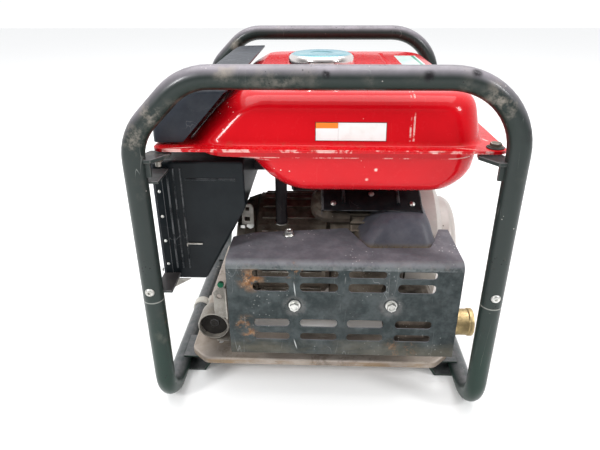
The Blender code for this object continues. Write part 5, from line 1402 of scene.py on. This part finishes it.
def engine_details():
    """Bolts, ears and ribs on the castings that show through the frame."""
    left, right = spans("stator")[0]
    crank = Vector((0.0, -0.030, CRANK_Z))
    ribs, bolts = Shape(), Shape()
    for index in range(24):
        angle = 15.0 * index + 7.5
        place = crank + around_x(angle) * 0.0808
        low = (left + 0.010, place.y - 0.0014, place.z - 0.0010)
        high = (right - 0.012, place.y + 0.0014, place.z + 0.0010)
        ribs.block(low, high, 0.0005, 2, Matrix.Rotation(math.radians(angle), 3, "X"))
    for angle in (45.0, 135.0, 225.0, 315.0):
        head = crank + around_x(angle) * 0.0735
        head.x = -0.1165
        bolts.rod(head + X * 0.0030, head - X * 0.0040, 0.0045, 0.0005, sides=6)
    piece(ribs, "stator_ribs", DIRTY_SHADED_ALUMINIUM, slot="stator")
    piece(bolts, "alternator_bolts", ZINC, slot="alternator_end_cover")
    points = [(-0.1135, 0.2180), (-0.0965, 0.2180), (-0.0965, 0.2440)]
    points += [(-0.1000, 0.2500), (-0.1100, 0.2500), (-0.1135, 0.2460)]
    ear = Shape().plate(points, "XZ", -0.112, -0.108, rounding=0.0006)
    holes = Shape().block((-0.1095, -0.12, 0.2235), (-0.1020, -0.10, 0.2300))
    holes.block((-0.1080, -0.12, 0.2400), (-0.1025, -0.10, 0.2450))
    piece(ear, "alternator_ear", CLEAN_CASTING, slot="stator", cuts=holes, edge=0.0003)
    boss = Shape().rod((-0.1020, -0.1120, 0.2170), (-0.1020, -0.1060, 0.2170), 0.0062, 0.0006, sides=6)
    boss.turned([(0.0, 0.0), (0.0098, 0.0), (0.0098, 0.0012), (0.0, 0.0012)], (-0.058, -0.090, 0.2112), Z, 40)
    piece(boss, "ear_bolt", ZINC, slot="stator")


def drum_details():
    """The recoil housing with its ring of air slots, and the screws on the fan cover."""
    (left, right), (y0, y1), _ = spans("recoil_housing")
    radius = (y1 - y0) / 2.0
    crank = Vector((0.0, (y0 + y1) / 2.0, CRANK_Z))
    rope_x, _, rope_z = (middle(span) for span in spans("recoil_rope"))
    wall = 0.002
    profile = [(0.0, right - 0.0030), (0.0150, right - 0.0030)]
    profile += [(0.0175, right - 0.0008), (0.0210, right - 0.0002)]
    profile += [(0.0600, right - 0.0002), (0.0650, right - 0.0008)]
    profile += [(0.0700, right - 0.0030), (0.0735, right - 0.0062)]
    profile += [(radius - 0.0008, right - 0.0110), (radius, right - 0.0140), (radius, left)]
    profile += [(radius - wall, left), (radius - wall, right - 0.0145), (0.0690, right - 0.0062)]
    profile += [(0.0620, right - 0.0030), (0.0210, right - 0.0024)]
    profile += [(0.0150, right - 0.0052), (0.0, right - 0.0052)]
    housing = Shape().turned(profile, crank, X, 72)
    cuts = Shape().rod((rope_x, crank.y + 0.030, rope_z), (rope_x, crank.y + 0.090, rope_z), 0.0050, sides=28)
    for index in range(14):
        angle = math.tau * index / 14.0
        way, side = (math.cos(angle), math.sin(angle)), (-math.sin(angle), math.cos(angle))
        corners = []
        for along, across in ((0.0290, -0.0024), (0.0560, -0.0042), (0.0560, 0.0042), (0.0290, 0.0024)):
            y = crank.y + way[0] * along + side[0] * across
            corners.append((y, crank.z + way[1] * along + side[1] * across))
        cuts.plate(corners, "YZ", right - 0.008, right + 0.006, corner=0.0018, steps=4)
    piece(
        housing, "recoil_cover", DRUM_PAINT, slot="recoil_housing", stands_for=["recoil_housing"], cuts=cuts,
        edge=0.0004,
    )
    screws = Shape()
    for angle in (30.0, 150.0, 270.0):
        head = crank + around_x(angle) * 0.090
        head.x = spans("fan_cover")[0][1]
        screws.rod(head - X * 0.0010, head + X * 0.0012, 0.0062, 0.0004, sides=32)
        screws.rod(head + X * 0.0010, head + X * 0.0050, 0.0045, 0.0005, sides=6)
    piece(screws, "drum_screws", ZINC, slot="fan_cover")


def camera_and_light():
    """The camera, a pale floor, and soft light from above and from the sides."""
    scene = bpy.context.scene
    lens = bpy.data.cameras.new("view")
    lens.lens = 30.9
    lens.sensor_width = 36.0
    view = bpy.data.objects.new("view", lens)
    view.location = (-0.0035, -0.779, 0.536)
    view.rotation_euler = (math.radians(64.55), math.radians(0.2), math.radians(2.2))
    scene.collection.objects.link(view)
    scene.camera = view
    scene.view_settings.view_transform = "Standard"

    floor_shape = bmesh.new()
    bmesh.ops.create_grid(floor_shape, x_segments=1, y_segments=1, size=6.0)
    floor_mesh = bpy.data.meshes.new("floor")
    floor_shape.to_mesh(floor_mesh)
    floor_shape.free()
    floor = bpy.data.objects.new("floor", floor_mesh)
    scene.collection.objects.link(floor)
    pale = Finish("pale_floor", 0.9, specular=0.0)
    pale.shader.inputs["Emission Color"].default_value = (1.0, 1.0, 1.0, 1.0)
    pale.shader.inputs["Emission Strength"].default_value = 0.10
    floor_mesh.materials.append(pale.finished((0.90, 0.90, 0.90)))

    world = bpy.data.worlds.new("studio")
    scene.world = world
    world.use_nodes = True
    tree = world.node_tree
    sky = tree.nodes["Background"]
    sky.inputs["Color"].default_value = (0.98, 0.99, 1.0, 1.0)
    split = tree.nodes.new("ShaderNodeSeparateXYZ")
    tree.links.new(tree.nodes.new("ShaderNodeTexCoord").outputs["Generated"], split.inputs["Vector"])
    behind, above, either = (tree.nodes.new("ShaderNode" + kind) for kind in ("MapRange", "MapRange", "Math"))
    for node, axis, low, high in ((behind, "Y", -0.35, 0.45), (above, "Z", 0.30, 0.80)):
        node.interpolation_type = "SMOOTHSTEP"
        tree.links.new(split.outputs[axis], node.inputs["Value"])
        node.inputs["From Min"].default_value = low
        node.inputs["From Max"].default_value = high
        node.inputs["To Min"].default_value = 0.28
        node.inputs["To Max"].default_value = 1.05
    either.operation = "MAXIMUM"
    tree.links.new(behind.outputs["Result"], either.inputs[0])
    tree.links.new(above.outputs["Result"], either.inputs[1])
    tree.links.new(either.outputs["Value"], sky.inputs["Strength"])
    for name, place, aim, size, power in (
        ("top_light", (0.0, 0.30, 2.2), (0.0, 0.1, 0.0), (2.4, 1.8), 44.0),
        ("left_light", (-1.2, -1.5, 1.30), (0.0, 0.0, 0.2), (0.30, 0.45), 20.0),
        ("right_light", (1.5, -1.0, 1.3), (0.0, 0.0, 0.2), (0.30, 0.45), 13.0),
    ):
        lamp = bpy.data.lights.new(name, "AREA")
        lamp.shape = "RECTANGLE"
        lamp.size, lamp.size_y = size
        lamp.energy = power
        stand = bpy.data.objects.new(name, lamp)
        stand.location = place
        stand.rotation_euler = (Vector(aim) - Vector(place)).to_track_quat("-Z", "Y").to_euler()
        scene.collection.objects.link(stand)


camera_and_light()
hoops()
skids()
frame_screws()
leg_clip()
pan_and_mounts()
tank()
tank_fittings()
side_cover()
muffler_cover()
hood()
air_guide()
left_mount()
cover_bolts()
exhaust()
control_box()
control_panel()
engine_details()
drum_details()

repaint(RUBBER, "fuel_cap_gasket", "recoil_grip", "spark_plug_cap")
repaint(HOSE_RUBBER, "fuel_hose", "spark_plug_lead", "alternator_cable")
repaint(BRASS, "fuel_cock_body")
repaint(SWITCH_BLACK, "fuel_cock_lever", "choke_lever", "engine_switch", "recoil_reel", "cooling_fan")
repaint(DIRTY_SHADED_ALUMINIUM, "crankcase", "crankcase_cover", "cylinder", "cylinder_head", "stator")
repaint(DIRTY_SHADED_ALUMINIUM, "alternator_end_cover")
repaint(CLEAN_CASTING, "carburettor", "piston")
repaint(CASE_GREY, "oil_filler_cap", "air_cleaner_case", "air_cleaner_cover")
repaint(STEEL, "spark_plug", "connecting_rod", "crankshaft_left", "crankshaft_right")
repaint(COPPER, "rotor")
repaint(IRON, "flywheel", "muffler", "intake_pipe")
repaint(DRUM_PAINT, "fan_cover")
repaint(ROPE, "recoil_rope")
repaint(FOAM, "air_filter_element")
repaint(BOX_BLACK, "control_box")
repaint(SIDE_COVER_GREY, "control_panel")
repaint(BUTTON_RED, "breaker_button")
